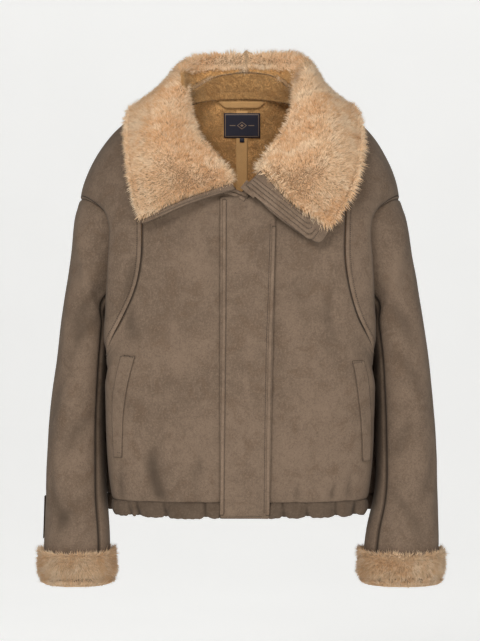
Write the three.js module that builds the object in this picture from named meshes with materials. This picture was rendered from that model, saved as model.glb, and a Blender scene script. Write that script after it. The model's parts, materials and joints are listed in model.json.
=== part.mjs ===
// A short fleece-lined jacket with a big fur collar, filled out as it is worn.
// Millimetres, +Z up, the front faces -Y. The origin is the middle of the neck, level with the collar seam.
// Left and right are the wearer's: right is -X, left is +X.
import * as THREE from 'three';

// Driving sizes
const WALL = 3;                 // suede bonded to shorn fleece
const SEAM = 0.3;               // gap between two pieces at a seam
const HEM_TOP = -612;           // where the hem casing is sewn on
const HEM_BOTTOM = -632;
const HEM_WALL = 5;             // the casing is the cloth folded over an elastic
const HEM_PUFF = 4;             // how far the casing swells
const SLEEVE_END = -734;        // the turn of the cuff
const CUFF_TOP = -687;
const CUFF_BOTTOM = -739;
const CUFF_FUR = 11;            // how far the cuff's fur stands off the sleeve
const CUFF_GAP = 0.7;           // the cuff's facets clear the sleeve's
const CUFF_LIP = 4;             // how far the turned cuff reaches inside the sleeve
const PLACKET_TOP = -171;
const PLACKET_WALL = 3.5;
const PLACKET_GAP = 1.2;        // from the placket's edges to the swollen hem beside it
const PLACKET_SEWN_EDGE = -29;  // X of the edge that is sewn down
const PLACKET_FREE_TOP = 51;    // X of the free edge at the collar
const PLACKET_FREE_BOTTOM = 42;
const TRIM_WALL = 2;            // welts and tabs
const FACET_CLEARANCE = 0.4;    // keeps a strip's facets clear of the wall's, where the wall is curved
const TAPE_WALL = 0.9;          // loop, label and seam tape

const SUEDE = new THREE.MeshStandardMaterial({ color: 0x6e5e50, roughness: 0.95, metalness: 0 });
const SUEDE_TRIM = new THREE.MeshStandardMaterial({ color: 0x66564a, roughness: 0.9, metalness: 0 });
const FUR = new THREE.MeshStandardMaterial({ color: 0xcdaa7d, roughness: 1, metalness: 0 });
const FLEECE = new THREE.MeshStandardMaterial({ color: 0xa58050, roughness: 1, metalness: 0 });
const TAPE = new THREE.MeshStandardMaterial({ color: 0x9a7446, roughness: 0.9, metalness: 0 });
const LABEL = new THREE.MeshStandardMaterial({ color: 0x2d2d3c, roughness: 0.8, metalness: 0 });

const jacket = new THREE.Group();
jacket.name = 'jacket';

// Tables: each row becomes an object with the named columns
function table(columns, rows) {
  return rows.map((row) => Object.fromEntries(columns.map((column, index) => [column, row[index]])));
}

function blend(from, to, share) {
  return from + (to - from) * share;
}

function clamp(value, low, high) {
  return Math.min(Math.max(value, low), high);
}

// A smooth value between four neighbours
function smooth(before, from, to, after, share) {
  const pull = (to - before) / 2;
  const push = (after - from) / 2;
  const bend = 2 * (from - to) + pull + push;
  const lean = 3 * (to - from) - 2 * pull - push;
  return ((bend * share + lean) * share + pull) * share + from;
}

// The row at a place between two rows of a table
function rowAt(rows, place) {
  const first = clamp(Math.floor(place), 0, rows.length - 2);
  const share = place - first;
  const before = rows[Math.max(first - 1, 0)];
  const after = rows[Math.min(first + 2, rows.length - 1)];
  const columns = Object.keys(rows[0]);
  return Object.fromEntries(columns.map((column) => [
    column, smooth(before[column], rows[first][column], rows[first + 1][column], after[column], share),
  ]));
}

// The value of one column where another column has a given value, in straight steps
function lookUp(rows, by, value, column) {
  const rising = rows[rows.length - 1][by] > rows[0][by];
  const passed = (row) => (rising ? row[by] >= value : row[by] <= value);
  const next = clamp(rows.findIndex(passed), 1, rows.length - 1);
  const from = rows[next - 1];
  const to = rows[next];
  return blend(from[column], to[column], clamp((value - from[by]) / (to[by] - from[by]), 0, 1));
}

// One closed solid from sections. Each section has an outer and an inner line of equally many points.
function loft(name, material, sections, ring = false) {
  const loops = sections.map((section) => [...section.outer, ...[...section.inner].reverse()]);
  const around = loops[0].length;
  const across = sections[0].outer.length;
  const triangles = [];
  const quad = (a, b, c, d) => triangles.push(a, b, c, a, c, d);
  const spans = ring ? loops.length : loops.length - 1;
  for (let k = 0; k < spans; k += 1) {
    const here = k * around;
    const there = ((k + 1) % loops.length) * around;
    for (let j = 0; j < around; j += 1) {
      const next = (j + 1) % around;
      quad(here + j, here + next, there + next, there + j);
    }
  }
  if (!ring) {
    for (const [start, turned] of [[0, true], [(loops.length - 1) * around, false]]) {
      for (let j = 0; j < across - 1; j += 1) {
        const face = [start + j, start + j + 1, start + around - 2 - j, start + around - 1 - j];
        quad(...(turned ? face.reverse() : face));
      }
    }
  }
  const points = loops.flat();
  let volume = 0;
  for (let i = 0; i < triangles.length; i += 3) {
    const [a, b, c] = triangles.slice(i, i + 3).map((index) => points[index]);
    volume += a.dot(new THREE.Vector3().crossVectors(b, c));
  }
  if (volume < 0) triangles.reverse();
  const geometry = new THREE.BufferGeometry();
  geometry.setAttribute('position', new THREE.Float32BufferAttribute(points.flatMap((p) => p.toArray()), 3));
  geometry.setIndex(triangles);
  geometry.computeVertexNormals();
  const mesh = new THREE.Mesh(geometry, material);
  mesh.name = name;
  jacket.add(mesh);
}

// The body's surface, half of the front and half of the back. Each row is a line across the panel, from the
// neckline or centre line, round the widest point, to the armhole or side seam. square is how boxy the line is,
// drop is how its height changes along it, and turn is the share of it that lies behind the widest point.
const ROW_COLUMNS = ['startX', 'startY', 'startZ', 'wideX', 'wideY', 'endX', 'endY', 'endZ', 'square', 'drop',
  'turn'];
const FRONT = table(ROW_COLUMNS, [
  [84, 0, -24, 239, 0, 239, 0, -168, 2.5, 1.3, 0.02],
  [81, -34, -42, 233, -34, 231, -32, -168, 2.4, 1.35, 0.04],
  [73, -66, -70, 220, -62, 216, -56, -175, 2.35, 1.3, 0.07],
  [57, -96, -106, 204, -80, 198, -70, -187, 2.35, 1.25, 0.1],
  [31, -118, -140, 195, -88, 185, -70, -204, 2.3, 1.2, 0.14],
  [0, -133, -160, 191, -90, 178, -64, -230, 2.5, 1.1, 0.18],
  [0, -139, -200, 193, -88, 175, -56, -262, 2.6, 1.1, 0.2],
  [0, -142, -240, 195, -82, 175, -42, -296, 2.7, 1.1, 0.22],
  [0, -143, -290, 197, -74, 176, -22, -323, 2.8, 1.1, 0.24],
  [0, -144, -326, 199, -68, 176, 0, -338, 2.8, 1.1, 0.28],
  [0, -144, -380, 199, -64, 177, 0, -380, 2.8, 1.1, 0.28],
  [0, -142, -450, 198, -60, 179, 0, -450, 2.8, 1.1, 0.26],
  [0, -140, -520, 197, -55, 181, 0, -520, 2.7, 1.1, 0.24],
  [0, -137, -575, 194, -48, 180, 0, -575, 2.6, 1.1, 0.22],
  [0, -132, -612, 187, -40, 176, 0, -612, 2.5, 1.1, 0.2],
  [0, -129, -634, 184, -38, 173, 0, -634, 2.5, 1.1, 0.2],
]);
const BACK = table(ROW_COLUMNS, [
  [84, 0, -24, 239, 0, 239, 0, -168, 2.5, 1.3, 0.02],
  [77, 27, -20, 235, 30, 233, 29, -167, 2.4, 1.3, 0.04],
  [57, 48, -12, 225, 58, 220, 52, -173, 2.35, 1.25, 0.07],
  [30, 61, -5, 212, 78, 205, 66, -186, 2.35, 1.25, 0.1],
  [0, 66, -4, 204, 88, 192, 68, -206, 2.4, 1.2, 0.13],
  [0, 86, -42, 200, 90, 183, 63, -236, 2.4, 1.15, 0.16],
  [0, 104, -93, 198, 87, 178, 55, -268, 2.4, 1.1, 0.19],
  [0, 116, -150, 197, 81, 176, 42, -299, 2.5, 1.1, 0.22],
  [0, 124, -210, 197, 74, 176, 23, -323, 2.5, 1.1, 0.25],
  [0, 128, -270, 197, 68, 176, 0, -338, 2.6, 1.1, 0.28],
  [0, 130, -350, 197, 64, 177, 0, -380, 2.6, 1.1, 0.28],
  [0, 130, -440, 197, 60, 179, 0, -450, 2.6, 1.1, 0.26],
  [0, 129, -518, 196, 54, 181, 0, -520, 2.6, 1.1, 0.24],
  [0, 127, -575, 193, 48, 180, 0, -575, 2.5, 1.1, 0.22],
  [0, 122, -612, 186, 40, 176, 0, -612, 2.4, 1.1, 0.2],
  [0, 119, -634, 183, 38, 173, 0, -634, 2.4, 1.1, 0.2],
]);
const UNDERARM_ROW = 9;
const SIDE_SEAM_MEETS_ROW = 11; // where the side-front seam has run into the side seam
const HEM_ROW = 14;

// Soft folds of the body: a line in X and Z, its width, and its depth, where a ridge is above 0
const FOLD_COLUMNS = ['topX', 'topZ', 'bottomX', 'bottomZ', 'width', 'depth'];
const FRONT_FOLDS = table(FOLD_COLUMNS, [
  [-102, -500, -112, -640, 11, -4.5],
  [-50, -520, -48, -640, 10, -3.5],
  [-160, -540, -152, -640, 12, -3.5],
  [-80, -470, -78, -640, 14, 2],
  [-150, -215, -176, -330, 16, -3],
  [62, -560, 60, -640, 11, -2.5],
  [94, -540, 96, -640, 10, -4],
  [140, -520, 136, -640, 12, -3.5],
  [172, -545, 168, -640, 10, -3],
  [116, -450, 116, -640, 16, 2],
  [158, -210, 178, -330, 16, -3],
]);
const BACK_FOLDS = table(FOLD_COLUMNS, [
  [-158, -540, -150, -640, 12, -4],
  [-112, -500, -118, -640, 12, -4.5],
  [-70, -530, -72, -640, 11, -3.5],
  [-28, -510, -24, -640, 12, -4],
  [22, -545, 18, -640, 10, -3],
  [62, -505, 66, -640, 12, -4.5],
  [108, -530, 104, -640, 11, -4],
  [152, -520, 150, -640, 12, -3.5],
  [-150, -190, -172, -330, 18, -4],
  [152, -200, 172, -335, 18, -4],
  [-90, -250, -40, -420, 26, -3],
  [96, -280, 52, -440, 28, -3],
]);

function foldDepth(folds, x, z) {
  let depth = 0;
  for (const fold of folds) {
    const along = (fold.topZ - z) / (fold.topZ - fold.bottomZ);
    if (along > 0 && along < 1.2) {
      const away = (x - blend(fold.topX, fold.bottomX, along)) / fold.width;
      depth += fold.depth * Math.exp(-away * away) * Math.sin(Math.min(along, 1) * Math.PI / 2);
    }
  }
  return depth;
}

const LEFT_SHOULDER = 7;        // the left shoulder is a little higher
const PRESSED_IN = 1.25;        // how soon the side turns in beside the sleeve

function plainPoint(rows, side, u, v) {
  const row = rowAt(rows, v);
  row.startX = Math.max(row.startX, 0);
  const ahead = 1 - row.turn;
  const point = new THREE.Vector3();
  if (u <= ahead) {
    const angle = (u / ahead) * Math.PI / 2;
    point.x = blend(row.startX, row.wideX, Math.sin(angle) ** (2 / row.square));
    point.y = blend(row.wideY, row.startY, Math.max(Math.cos(angle), 0) ** (2 / row.square));
  } else {
    const behind = (u - ahead) / row.turn;
    const endY = v < UNDERARM_ROW ? row.endY : 0;
    point.x = blend(row.wideX, row.endX, Math.sin(behind ** PRESSED_IN * Math.PI / 2));
    point.y = blend(row.wideY, endY, behind);
  }
  point.z = blend(row.endZ, row.startZ, Math.max(Math.cos(u * Math.PI / 2), 0) ** (2 / row.drop));
  if (side > 0) point.z += LEFT_SHOULDER * Math.sin(u * Math.PI) * clamp(1 - v / 4, 0, 1);
  point.x *= side;
  return point;
}

const STEP = 0.012;             // for slopes, as a share of a row

function plainNormal(rows, side, u, v) {
  const near = clamp(u, STEP, 1 - STEP);
  const across = plainPoint(rows, side, near + STEP, v).sub(plainPoint(rows, side, near - STEP, v));
  const high = clamp(v, STEP, rows.length - 1 - STEP);
  const down = plainPoint(rows, side, u, high + STEP).sub(plainPoint(rows, side, u, high - STEP));
  const outward = rows === FRONT ? -side : side;
  return across.cross(down).multiplyScalar(outward).normalize();
}

// Where the front and the back meet, both walls stand on one shared normal
function bodyNormal(rows, side, u, v) {
  const other = rows === FRONT ? BACK : FRONT;
  const normal = plainNormal(rows, side, u, v);
  const atSideSeam = v >= UNDERARM_ROW - 0.01 && u > 0.99;
  if (atSideSeam || v < 0.01) normal.add(plainNormal(other, side, u, v)).normalize();
  return normal;
}

function bodyPoint(rows, side, u, v, lift = 0) {
  const point = plainPoint(rows, side, u, v);
  const normal = bodyNormal(rows, side, u, v);
  const settle = clamp((1 - u) * 8, 0, 1);
  const depth = foldDepth(rows === FRONT ? FRONT_FOLDS : BACK_FOLDS, point.x, point.z) * settle;
  return point.addScaledVector(normal, depth + lift);
}

// The place on the body, as u and v, that lies at a given X and Z
function placeAt(rows, x, z) {
  const side = x < 0 ? -1 : 1;
  let u = 0.5;
  let v = 7;
  for (let round = 0; round < 12; round += 1) {
    let low = 0;
    let high = rows.length - 1;
    for (let k = 0; k < 24; k += 1) {
      v = (low + high) / 2;
      if (plainPoint(rows, 1, u, v).z > z) low = v;
      else high = v;
    }
    low = 0;
    high = 1 - rowAt(rows, v).turn;
    for (let k = 0; k < 24; k += 1) {
      u = (low + high) / 2;
      if (plainPoint(rows, 1, u, v).x < Math.abs(x)) low = u;
      else high = u;
    }
  }
  return { side, u, v };
}

// A point on the body's outside at a given X and Z, lifted off it
function skin(rows, x, z, lift) {
  const place = placeAt(rows, x, z);
  return bodyPoint(rows, place.side, place.u, place.v, lift);
}

// The side-front seam: its X at each height, for the wearer's right and left
const SIDE_FRONT_SEAM = table(['z', 'right', 'left'], [
  [-20, 150, 152],
  [-100, 146, 154],
  [-175, 142, 154],
  [-247, 142, 152],
  [-275, 145, 154],
  [-304, 152, 160],
  [-323, 161, 165],
  [-347, 174, 175],
  [-372, 186, 187],
  [-384, 193, 194],
]);

function seamPlace(side, v) {
  const column = side < 0 ? 'right' : 'left';
  const row = Math.min(v, 10);
  let low = 0;
  let high = 1 - rowAt(FRONT, row).turn;
  for (let k = 0; k < 30; k += 1) {
    const middle = (low + high) / 2;
    const point = plainPoint(FRONT, 1, middle, row);
    if (point.x < lookUp(SIDE_FRONT_SEAM, 'z', point.z, column)) low = middle;
    else high = middle;
  }
  return blend(low, 1, clamp(v - 10, 0, 1));
}

// The rows that the body's panels share, so that their seams run side by side
const ARMHOLE_ROWS = 12;
const UPPER_ROWS = Array.from({ length: ARMHOLE_ROWS + 1 }, (_, k) => k * UNDERARM_ROW / ARMHOLE_ROWS);
const SIDE_ROWS = [9.5, 10, 10.45, 10.88];
const LOWER_ROWS = [SIDE_SEAM_MEETS_ROW, 11.75, 12.5, 13.25, HEM_ROW];
const LEANING_SEAM = 4;         // a seam that runs aslant takes a wider share of the row
const CENTRE_COLUMNS = 10;
const SIDE_COLUMNS = 5;

function bodySection(rows, side, v, fromU, toU, columns) {
  const outer = [];
  const inner = [];
  for (let k = 0; k <= columns; k += 1) {
    const u = blend(fromU, toU, k / columns);
    outer.push(bodyPoint(rows, side, u, v));
    inner.push(bodyPoint(rows, side, u, v, -WALL));
  }
  for (let k = 0; k <= columns && v === HEM_ROW; k += 1) {
    outer[k].z = HEM_TOP;
    inner[k].z = HEM_TOP;
  }
  return { outer, inner };
}

// Small shares of a row that keep the seams open
function shareOf(rows, v) {
  const length = plainPoint(rows, 1, 0, v).distanceTo(plainPoint(rows, 1, 1, v));
  return SEAM / length;
}

// Where a half starts: at the neckline, or half a gap from the centre line
function startOf(rows, v) {
  const row = rowAt(rows, v);
  const missing = Math.max(SEAM / 2 - Math.max(row.startX, 0), 0);
  const share = missing / row.wideX;
  return Math.asin(share ** (row.square / 2)) * (1 - row.turn) / (Math.PI / 2);
}

function makeFronts() {
  for (const [side, hand] of [[-1, 'right'], [1, 'left']]) {
    const rows = [...UPPER_ROWS, ...SIDE_ROWS, ...LOWER_ROWS];
    const centre = rows.map((v) => {
      const gap = shareOf(FRONT, v);
      const lean = v > UNDERARM_ROW ? LEANING_SEAM : 1;
      const end = v < SIDE_SEAM_MEETS_ROW ? seamPlace(side, v) - gap * lean : 1 - gap;
      return bodySection(FRONT, side, Math.max(v, 0.005), startOf(FRONT, v), end, CENTRE_COLUMNS);
    });
    loft(`front_centre_${hand}`, SUEDE, centre);
    const sideRows = [...UPPER_ROWS, ...SIDE_ROWS];
    const sides = sideRows.map((v) => {
      const end = v < UNDERARM_ROW ? 1 : 1 - shareOf(FRONT, v);
      return bodySection(FRONT, side, Math.max(v, 0.005), seamPlace(side, v) + shareOf(FRONT, v), end,
        SIDE_COLUMNS);
    });
    loft(`front_side_${hand}`, SUEDE, sides);
  }
}

function makeBacks() {
  for (const [side, hand] of [[-1, 'right'], [1, 'left']]) {
    const rows = [...UPPER_ROWS, ...SIDE_ROWS, ...LOWER_ROWS];
    const seam = seamPlace(side, 0);
    const sections = rows.map((v) => {
      const gap = shareOf(BACK, v);
      const end = v < UNDERARM_ROW ? 1 : 1 - gap;
      const inside = bodySection(BACK, side, Math.max(v, 0.005), startOf(BACK, v), seam, CENTRE_COLUMNS - 2);
      const outside = bodySection(BACK, side, Math.max(v, 0.005), seam, end, SIDE_COLUMNS);
      return {
        outer: [...inside.outer, ...outside.outer.slice(1)],
        inner: [...inside.inner, ...outside.inner.slice(1)],
      };
    });
    loft(`back_${hand}`, SUEDE, sections);
  }
}

// The hem casing: swollen cloth, drawn in by its elastic
const HEM_ROWS = 4;
const HEM_EVEN = 1.15;          // evens out the columns near the centre back
const GATHER_WIDTH = 8;
const GATHER_DEPTH = 3.2;
const FRONT_GATHERS = table(['x', 'share'], [
  [-163, 1], [-147, 0.8], [-130, 0.6], [-112, 1], [-88, 0.5], [-68, 0.4], [-49, 1],
  [60, 0.8], [78, 0.5], [96, 1], [118, 0.5], [137, 1], [154, 0.6], [169, 1],
]);
const BACK_GATHERS = table(['x', 'share'], [
  [-166, 0.8], [-150, 1], [-131, 0.7], [-115, 1], [-94, 0.6], [-72, 1], [-52, 0.5], [-26, 1], [-4, 0.6],
  [20, 0.9], [41, 0.5], [64, 1], [86, 0.6], [106, 1], [128, 0.7], [150, 1], [167, 0.6],
]);

function hemSection(rows, side, u) {
  const gathers = rows === FRONT ? FRONT_GATHERS : BACK_GATHERS;
  const outer = [];
  const inner = [];
  for (let k = 0; k <= HEM_ROWS; k += 1) {
    const down = k / HEM_ROWS;
    const swell = Math.sin(down * Math.PI);
    const v = HEM_ROW + down * 0.95;
    const middle = plainPoint(rows, side, u, v);
    let lift = HEM_PUFF * swell;
    for (const gather of gathers) {
      const away = (middle.x - gather.x) / GATHER_WIDTH;
      lift -= GATHER_DEPTH * gather.share * Math.exp(-away * away) * (0.4 + 0.6 * swell);
    }
    const z = blend(HEM_TOP - SEAM, HEM_BOTTOM, down);
    outer.push(bodyPoint(rows, side, u, v, lift).setZ(z));
    inner.push(bodyPoint(rows, side, u, v, lift - HEM_WALL).setZ(z));
  }
  return { outer, inner };
}

function makeHem() {
  const columns = 30;
  for (const [side, hand, startX] of [[-1, 'right', PLACKET_SEWN_EDGE], [1, 'left', PLACKET_FREE_BOTTOM]]) {
    const start = placeAt(FRONT, startX + side * PLACKET_GAP, HEM_TOP).u;
    const end = 1 - shareOf(FRONT, HEM_ROW);
    const sections = Array.from({ length: columns + 1 }, (_, k) => hemSection(FRONT, side,
      blend(start, end, k / columns)));
    loft(`hem_front_${hand}`, SUEDE, sections);
  }
  const reach = 1 - shareOf(BACK, HEM_ROW);
  const backColumns = 64;
  const sections = Array.from({ length: backColumns + 1 }, (_, k) => {
    const across = blend(-reach, reach, k / backColumns);
    return hemSection(BACK, across < 0 ? -1 : 1, Math.abs(across) ** HEM_EVEN);
  });
  loft('hem_back', SUEDE, sections);
}

// Sleeves: each row is a ring from its outer point down to its inner point, with its depth from front to back
const SLEEVE_COLUMNS = ['outerX', 'outerZ', 'innerX', 'innerZ', 'middleY', 'depth', 'square'];
const SLEEVE_RIGHT = table(SLEEVE_COLUMNS, [
  [247, -196, 197, -342, 0, 67, 2.1],
  [252, -240, 195, -366, 0, 67, 2.1],
  [258, -285, 197, -392, 1, 67, 2.15],
  [267, -345, 199, -422, 2, 68, 2.2],
  [275, -410, 200, -460, 3, 68, 2.2],
  [284, -475, 201, -505, 0, 66, 2.2],
  [288, -540, 200, -555, -5, 64, 2.2],
  [290, -600, 199, -608, -10, 62, 2.2],
  [291, -655, 194, -658, -15, 60, 2.2],
  [292, -704, 193, -705, -18, 57, 2.2],
  [291, SLEEVE_END, 193, SLEEVE_END, -19, 56, 2.2],
]);
const SLEEVE_LEFT = table(SLEEVE_COLUMNS, [
  [249, -196, 197, -342, 0, 67, 2.1],
  [256, -240, 195, -366, 0, 67, 2.1],
  [264, -285, 198, -392, 1, 67, 2.15],
  [274, -345, 201, -422, 2, 68, 2.2],
  [283, -410, 202, -460, 3, 68, 2.2],
  [290, -475, 203, -505, 0, 66, 2.2],
  [293, -540, 203, -555, -5, 64, 2.2],
  [295, -600, 201, -608, -10, 63, 2.2],
  [296, -655, 188, -658, -15, 61, 2.2],
  [296, -704, 184, -705, -18, 59, 2.2],
  [295, SLEEVE_END, 184, SLEEVE_END, -19, 58, 2.2],
]);
const AROUND = 24;              // points round a sleeve, from its outer point over the front
const FRONT_SPLIT = 9;          // the under sleeve lies between these two
const BACK_SPLIT = 15;
const SLEEVE_PLACES = [0, 0.35, 0.7, 1, 1.5, 2, 2.5, 3, 4, 5, 6, 7, 7.6, 8.3, 9, 10, 11];
const LAST_PLACE = 11;

// Soft folds of the sleeves: where round the sleeve, from and to which height, width and depth
const SLEEVE_FOLDS = table(['round', 'topZ', 'bottomZ', 'lean', 'width', 'depth'], [
  [4, -240, -330, 2.5, 1.3, -3.5],
  [20, -230, -340, -2.5, 1.3, -4],
  [3, -420, -520, -1.6, 1.1, -2.5],
  [21, -400, -500, 2, 1.1, -3.5],
  [6, -470, -600, -1.4, 1.2, -3],
  [18, -480, -610, 1.6, 1.2, -3],
  [2, -590, -700, 1.2, 1, -2.2],
  [8, -600, -700, -1, 1, -2],
  [22, -580, -700, -1.4, 1, -2.2],
]);

function armholePoint(side, around, lift) {
  const inFront = around <= AROUND / 2;
  const v = UNDERARM_ROW * (inFront ? around : AROUND - around) / (AROUND / 2);
  return bodyPoint(inFront ? FRONT : BACK, side, 1, v, lift);
}

function sleeveRing(side, rings, place, around, swell = 0) {
  const ring = rowAt(rings, place);
  const angle = (around / AROUND) * Math.PI * 2;
  const power = 2 / ring.square;
  const out = Math.sign(Math.cos(angle)) * Math.abs(Math.cos(angle)) ** power;
  const ahead = Math.sign(Math.sin(angle)) * Math.abs(Math.sin(angle)) ** power;
  const half = (ring.outerX - ring.innerX) / 2 + swell;
  const x = (ring.outerX + ring.innerX) / 2 + half * out;
  const y = ring.middleY - (ring.depth + swell) * ahead;
  const z = blend(ring.innerZ, ring.outerZ, (1 + out) / 2);
  return new THREE.Vector3(side * x, y, z);
}

// A point on the sleeve: place 0 is the armhole, and place 1 is the first row of the table
function plainSleevePoint(side, place, around) {
  const rings = side < 0 ? SLEEVE_RIGHT : SLEEVE_LEFT;
  if (place >= 2) return sleeveRing(side, rings, place - 1, around);
  const marks = [armholePoint(side, around, 0), sleeveRing(side, rings, 0, around),
    sleeveRing(side, rings, 1, around), sleeveRing(side, rings, 2, around)];
  const first = place < 1 ? 0 : 1;
  const before = marks[Math.max(first - 1, 0)];
  const share = place - first;
  return new THREE.Vector3(...['x', 'y', 'z'].map((axis) => smooth(before[axis], marks[first][axis],
    marks[first + 1][axis], marks[first + 2][axis], share)));
}

function sleeveNormal(side, place, around) {
  const along = plainSleevePoint(side, Math.min(place + 0.05, LAST_PLACE), around)
    .sub(plainSleevePoint(side, Math.max(place - 0.05, 0), around));
  const round = plainSleevePoint(side, place, (around + 0.2) % AROUND)
    .sub(plainSleevePoint(side, place, (around + AROUND - 0.2) % AROUND));
  return round.cross(along).multiplyScalar(side).normalize();
}

function sleevePoint(side, place, around, lift = 0) {
  const turned = (around + AROUND) % AROUND;
  const point = plainSleevePoint(side, place, turned);
  let depth = 0;
  for (const fold of SLEEVE_FOLDS) {
    const along = (fold.topZ - point.z) / (fold.topZ - fold.bottomZ);
    if (along > 0 && along < 1) {
      const away = (turned - fold.round - fold.lean * (along - 0.5)) / fold.width;
      depth += fold.depth * Math.exp(-away * away) * Math.sin(along * Math.PI);
    }
  }
  return point.addScaledVector(sleeveNormal(side, place, turned), depth + lift);
}

function sleeveSection(side, place, from, to, columns) {
  const outer = [];
  const inner = [];
  for (let k = 0; k <= columns; k += 1) {
    const around = blend(from, to, k / columns);
    if (place > 0) {
      outer.push(sleevePoint(side, place, around));
      inner.push(sleevePoint(side, place, around, -WALL));
    } else {
      const turned = (around + AROUND) % AROUND;
      const away = plainSleevePoint(side, 0.1, turned).sub(plainSleevePoint(side, 0, turned)).setLength(SEAM);
      outer.push(armholePoint(side, turned, 0).add(away));
      inner.push(armholePoint(side, turned, -WALL).add(away));
    }
  }
  return { outer, inner };
}

function makeSleeves() {
  const open = 0.035;           // holds the sleeve's two seams open, in steps round the sleeve
  for (const [side, hand] of [[-1, 'right'], [1, 'left']]) {
    const upper = SLEEVE_PLACES.map((place) => sleeveSection(side, place, BACK_SPLIT + open - AROUND,
      FRONT_SPLIT - open, AROUND - BACK_SPLIT + FRONT_SPLIT));
    loft(`sleeve_upper_${hand}`, SUEDE, upper);
    const under = SLEEVE_PLACES.map((place) => sleeveSection(side, place, BACK_SPLIT - open,
      FRONT_SPLIT + open, BACK_SPLIT - FRONT_SPLIT));
    loft(`sleeve_under_${hand}`, SUEDE, under);
  }
}

// Cuffs: fur turned back over the sleeve's end. Each row is how far out from the sleeve and how high.
const CUFF_OUTSIDE = table(['out', 'z'], [
  [CUFF_GAP, CUFF_TOP - 3],
  [CUFF_FUR - 3, CUFF_TOP - 1],
  [CUFF_FUR + 1, CUFF_TOP - 16],
  [CUFF_FUR + 1, CUFF_BOTTOM + 14],
  [CUFF_FUR - 4, CUFF_BOTTOM + 1],
]);
const CUFF_INSIDE = table(['out', 'z'], [
  [CUFF_GAP, CUFF_TOP - 17],
  [CUFF_GAP, CUFF_TOP - 30],
  [CUFF_GAP, SLEEVE_END - SEAM],
  [-WALL - CUFF_GAP, SLEEVE_END - SEAM],
  [-WALL - CUFF_LIP, CUFF_BOTTOM + 1],
]);

function cuffPoint(side, mark, around) {
  const rings = side < 0 ? SLEEVE_RIGHT : SLEEVE_LEFT;
  const found = rings.findIndex((ring) => ring.outerZ <= mark.z);
  const next = found < 0 ? rings.length - 1 : found;
  const from = rings[next - 1].outerZ;
  const place = next - 1 + clamp((from - mark.z) / (from - rings[next].outerZ), 0, 1);
  const uneven = mark.out > 3 ? 1.2 * Math.sin(around * 2.3) + 0.8 * Math.sin(around * 5.1 + mark.z) : 0;
  return sleevePoint(side, place + 1, around, mark.out + uneven).setZ(mark.z);
}

function makeCuffs() {
  for (const [side, hand] of [[-1, 'right'], [1, 'left']]) {
    const sections = Array.from({ length: AROUND }, (_, around) => ({
      outer: CUFF_OUTSIDE.map((mark) => cuffPoint(side, mark, around)),
      inner: CUFF_INSIDE.map((mark) => cuffPoint(side, mark, around)),
    }));
    loft(`cuff_${hand}`, FUR, sections, true);
  }
}

// Strips that lie on the body: a grid of places in X and Z, lifted off the wall
function layOn(name, material, rows, places, under, wall) {
  loft(name, material, places.map((line) => ({
    outer: line.map(([x, z]) => skin(rows, x, z, under + wall)),
    inner: line.map(([x, z]) => skin(rows, x, z, under)),
  })));
}

function makePlacket() {
  const places = [];
  const lines = 16;
  for (let k = 0; k <= lines; k += 1) {
    const share = k / lines;
    const z = blend(PLACKET_TOP, HEM_BOTTOM, share);
    const free = blend(PLACKET_FREE_TOP, PLACKET_FREE_BOTTOM, share);
    places.push(Array.from({ length: 7 }, (_, j) => [blend(PLACKET_SEWN_EDGE, free, j / 6), z]));
  }
  layOn('placket', SUEDE, FRONT, places, SEAM + 0.2, PLACKET_WALL);
}

// Pocket welts: the X of both long edges at each height
const WELT_COLUMNS = ['z', 'inner', 'outer'];
const WELT_RIGHT = table(WELT_COLUMNS, [
  [-399, -150, -171],
  [-427, -158, -178],
  [-456, -164, -183],
  [-492, -168, -184],
  [-546, -170, -182],
]);
const WELT_LEFT = table(WELT_COLUMNS, [
  [-406, 161, 178],
  [-430, 166, 184],
  [-460, 170, 187],
  [-495, 174, 189],
  [-552, 177, 188],
]);

function makeWelts() {
  for (const [rows, hand] of [[WELT_RIGHT, 'right'], [WELT_LEFT, 'left']]) {
    const places = Array.from({ length: 13 }, (_, k) => {
      const row = rowAt(rows, (k / 12) * (rows.length - 1));
      return [0, 1, 2, 3].map((j) => [blend(row.inner, row.outer, j / 3), row.z]);
    });
    layOn(`pocket_welt_${hand}`, SUEDE_TRIM, FRONT, places, SEAM + FACET_CLEARANCE / 4, TRIM_WALL);
  }
}

// What lies inside the back of the neck
function makeNeckTrim() {
  const inside = -WALL - SEAM - FACET_CLEARANCE - TAPE_WALL;
  const tape = Array.from({ length: 10 }, (_, k) => {
    const z = blend(-24, -150, k / 9);
    return [-9, -3, 3, 9].map((x) => [x + 3, z]);
  });
  layOn('back_tape', TAPE, BACK, tape, inside, TAPE_WALL);
  const label = Array.from({ length: 5 }, (_, k) => {
    const z = blend(-27, -64, k / 4);
    return Array.from({ length: 7 }, (_, j) => [blend(-25, 31, j / 6), z]);
  });
  layOn('neck_label', LABEL, BACK, label, inside - SEAM - TAPE_WALL, TAPE_WALL);
  const sizeTab = [-64.6, -71].map((z) => [[-0.5, z], [3, z], [6.5, z]]);
  layOn('size_tab', LABEL, BACK, sizeTab, inside - SEAM - TAPE_WALL, TAPE_WALL);
  const loop = [-10, -13, -16, -20].map((z, k) => Array.from({ length: 9 },
    (_, j) => [3 + blend(-39 + k * 4, 39 - k * 4, j / 8), z]));
  layOn('hang_loop', SUEDE_TRIM, BACK, loop, inside - SEAM, TAPE_WALL);
}

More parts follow.
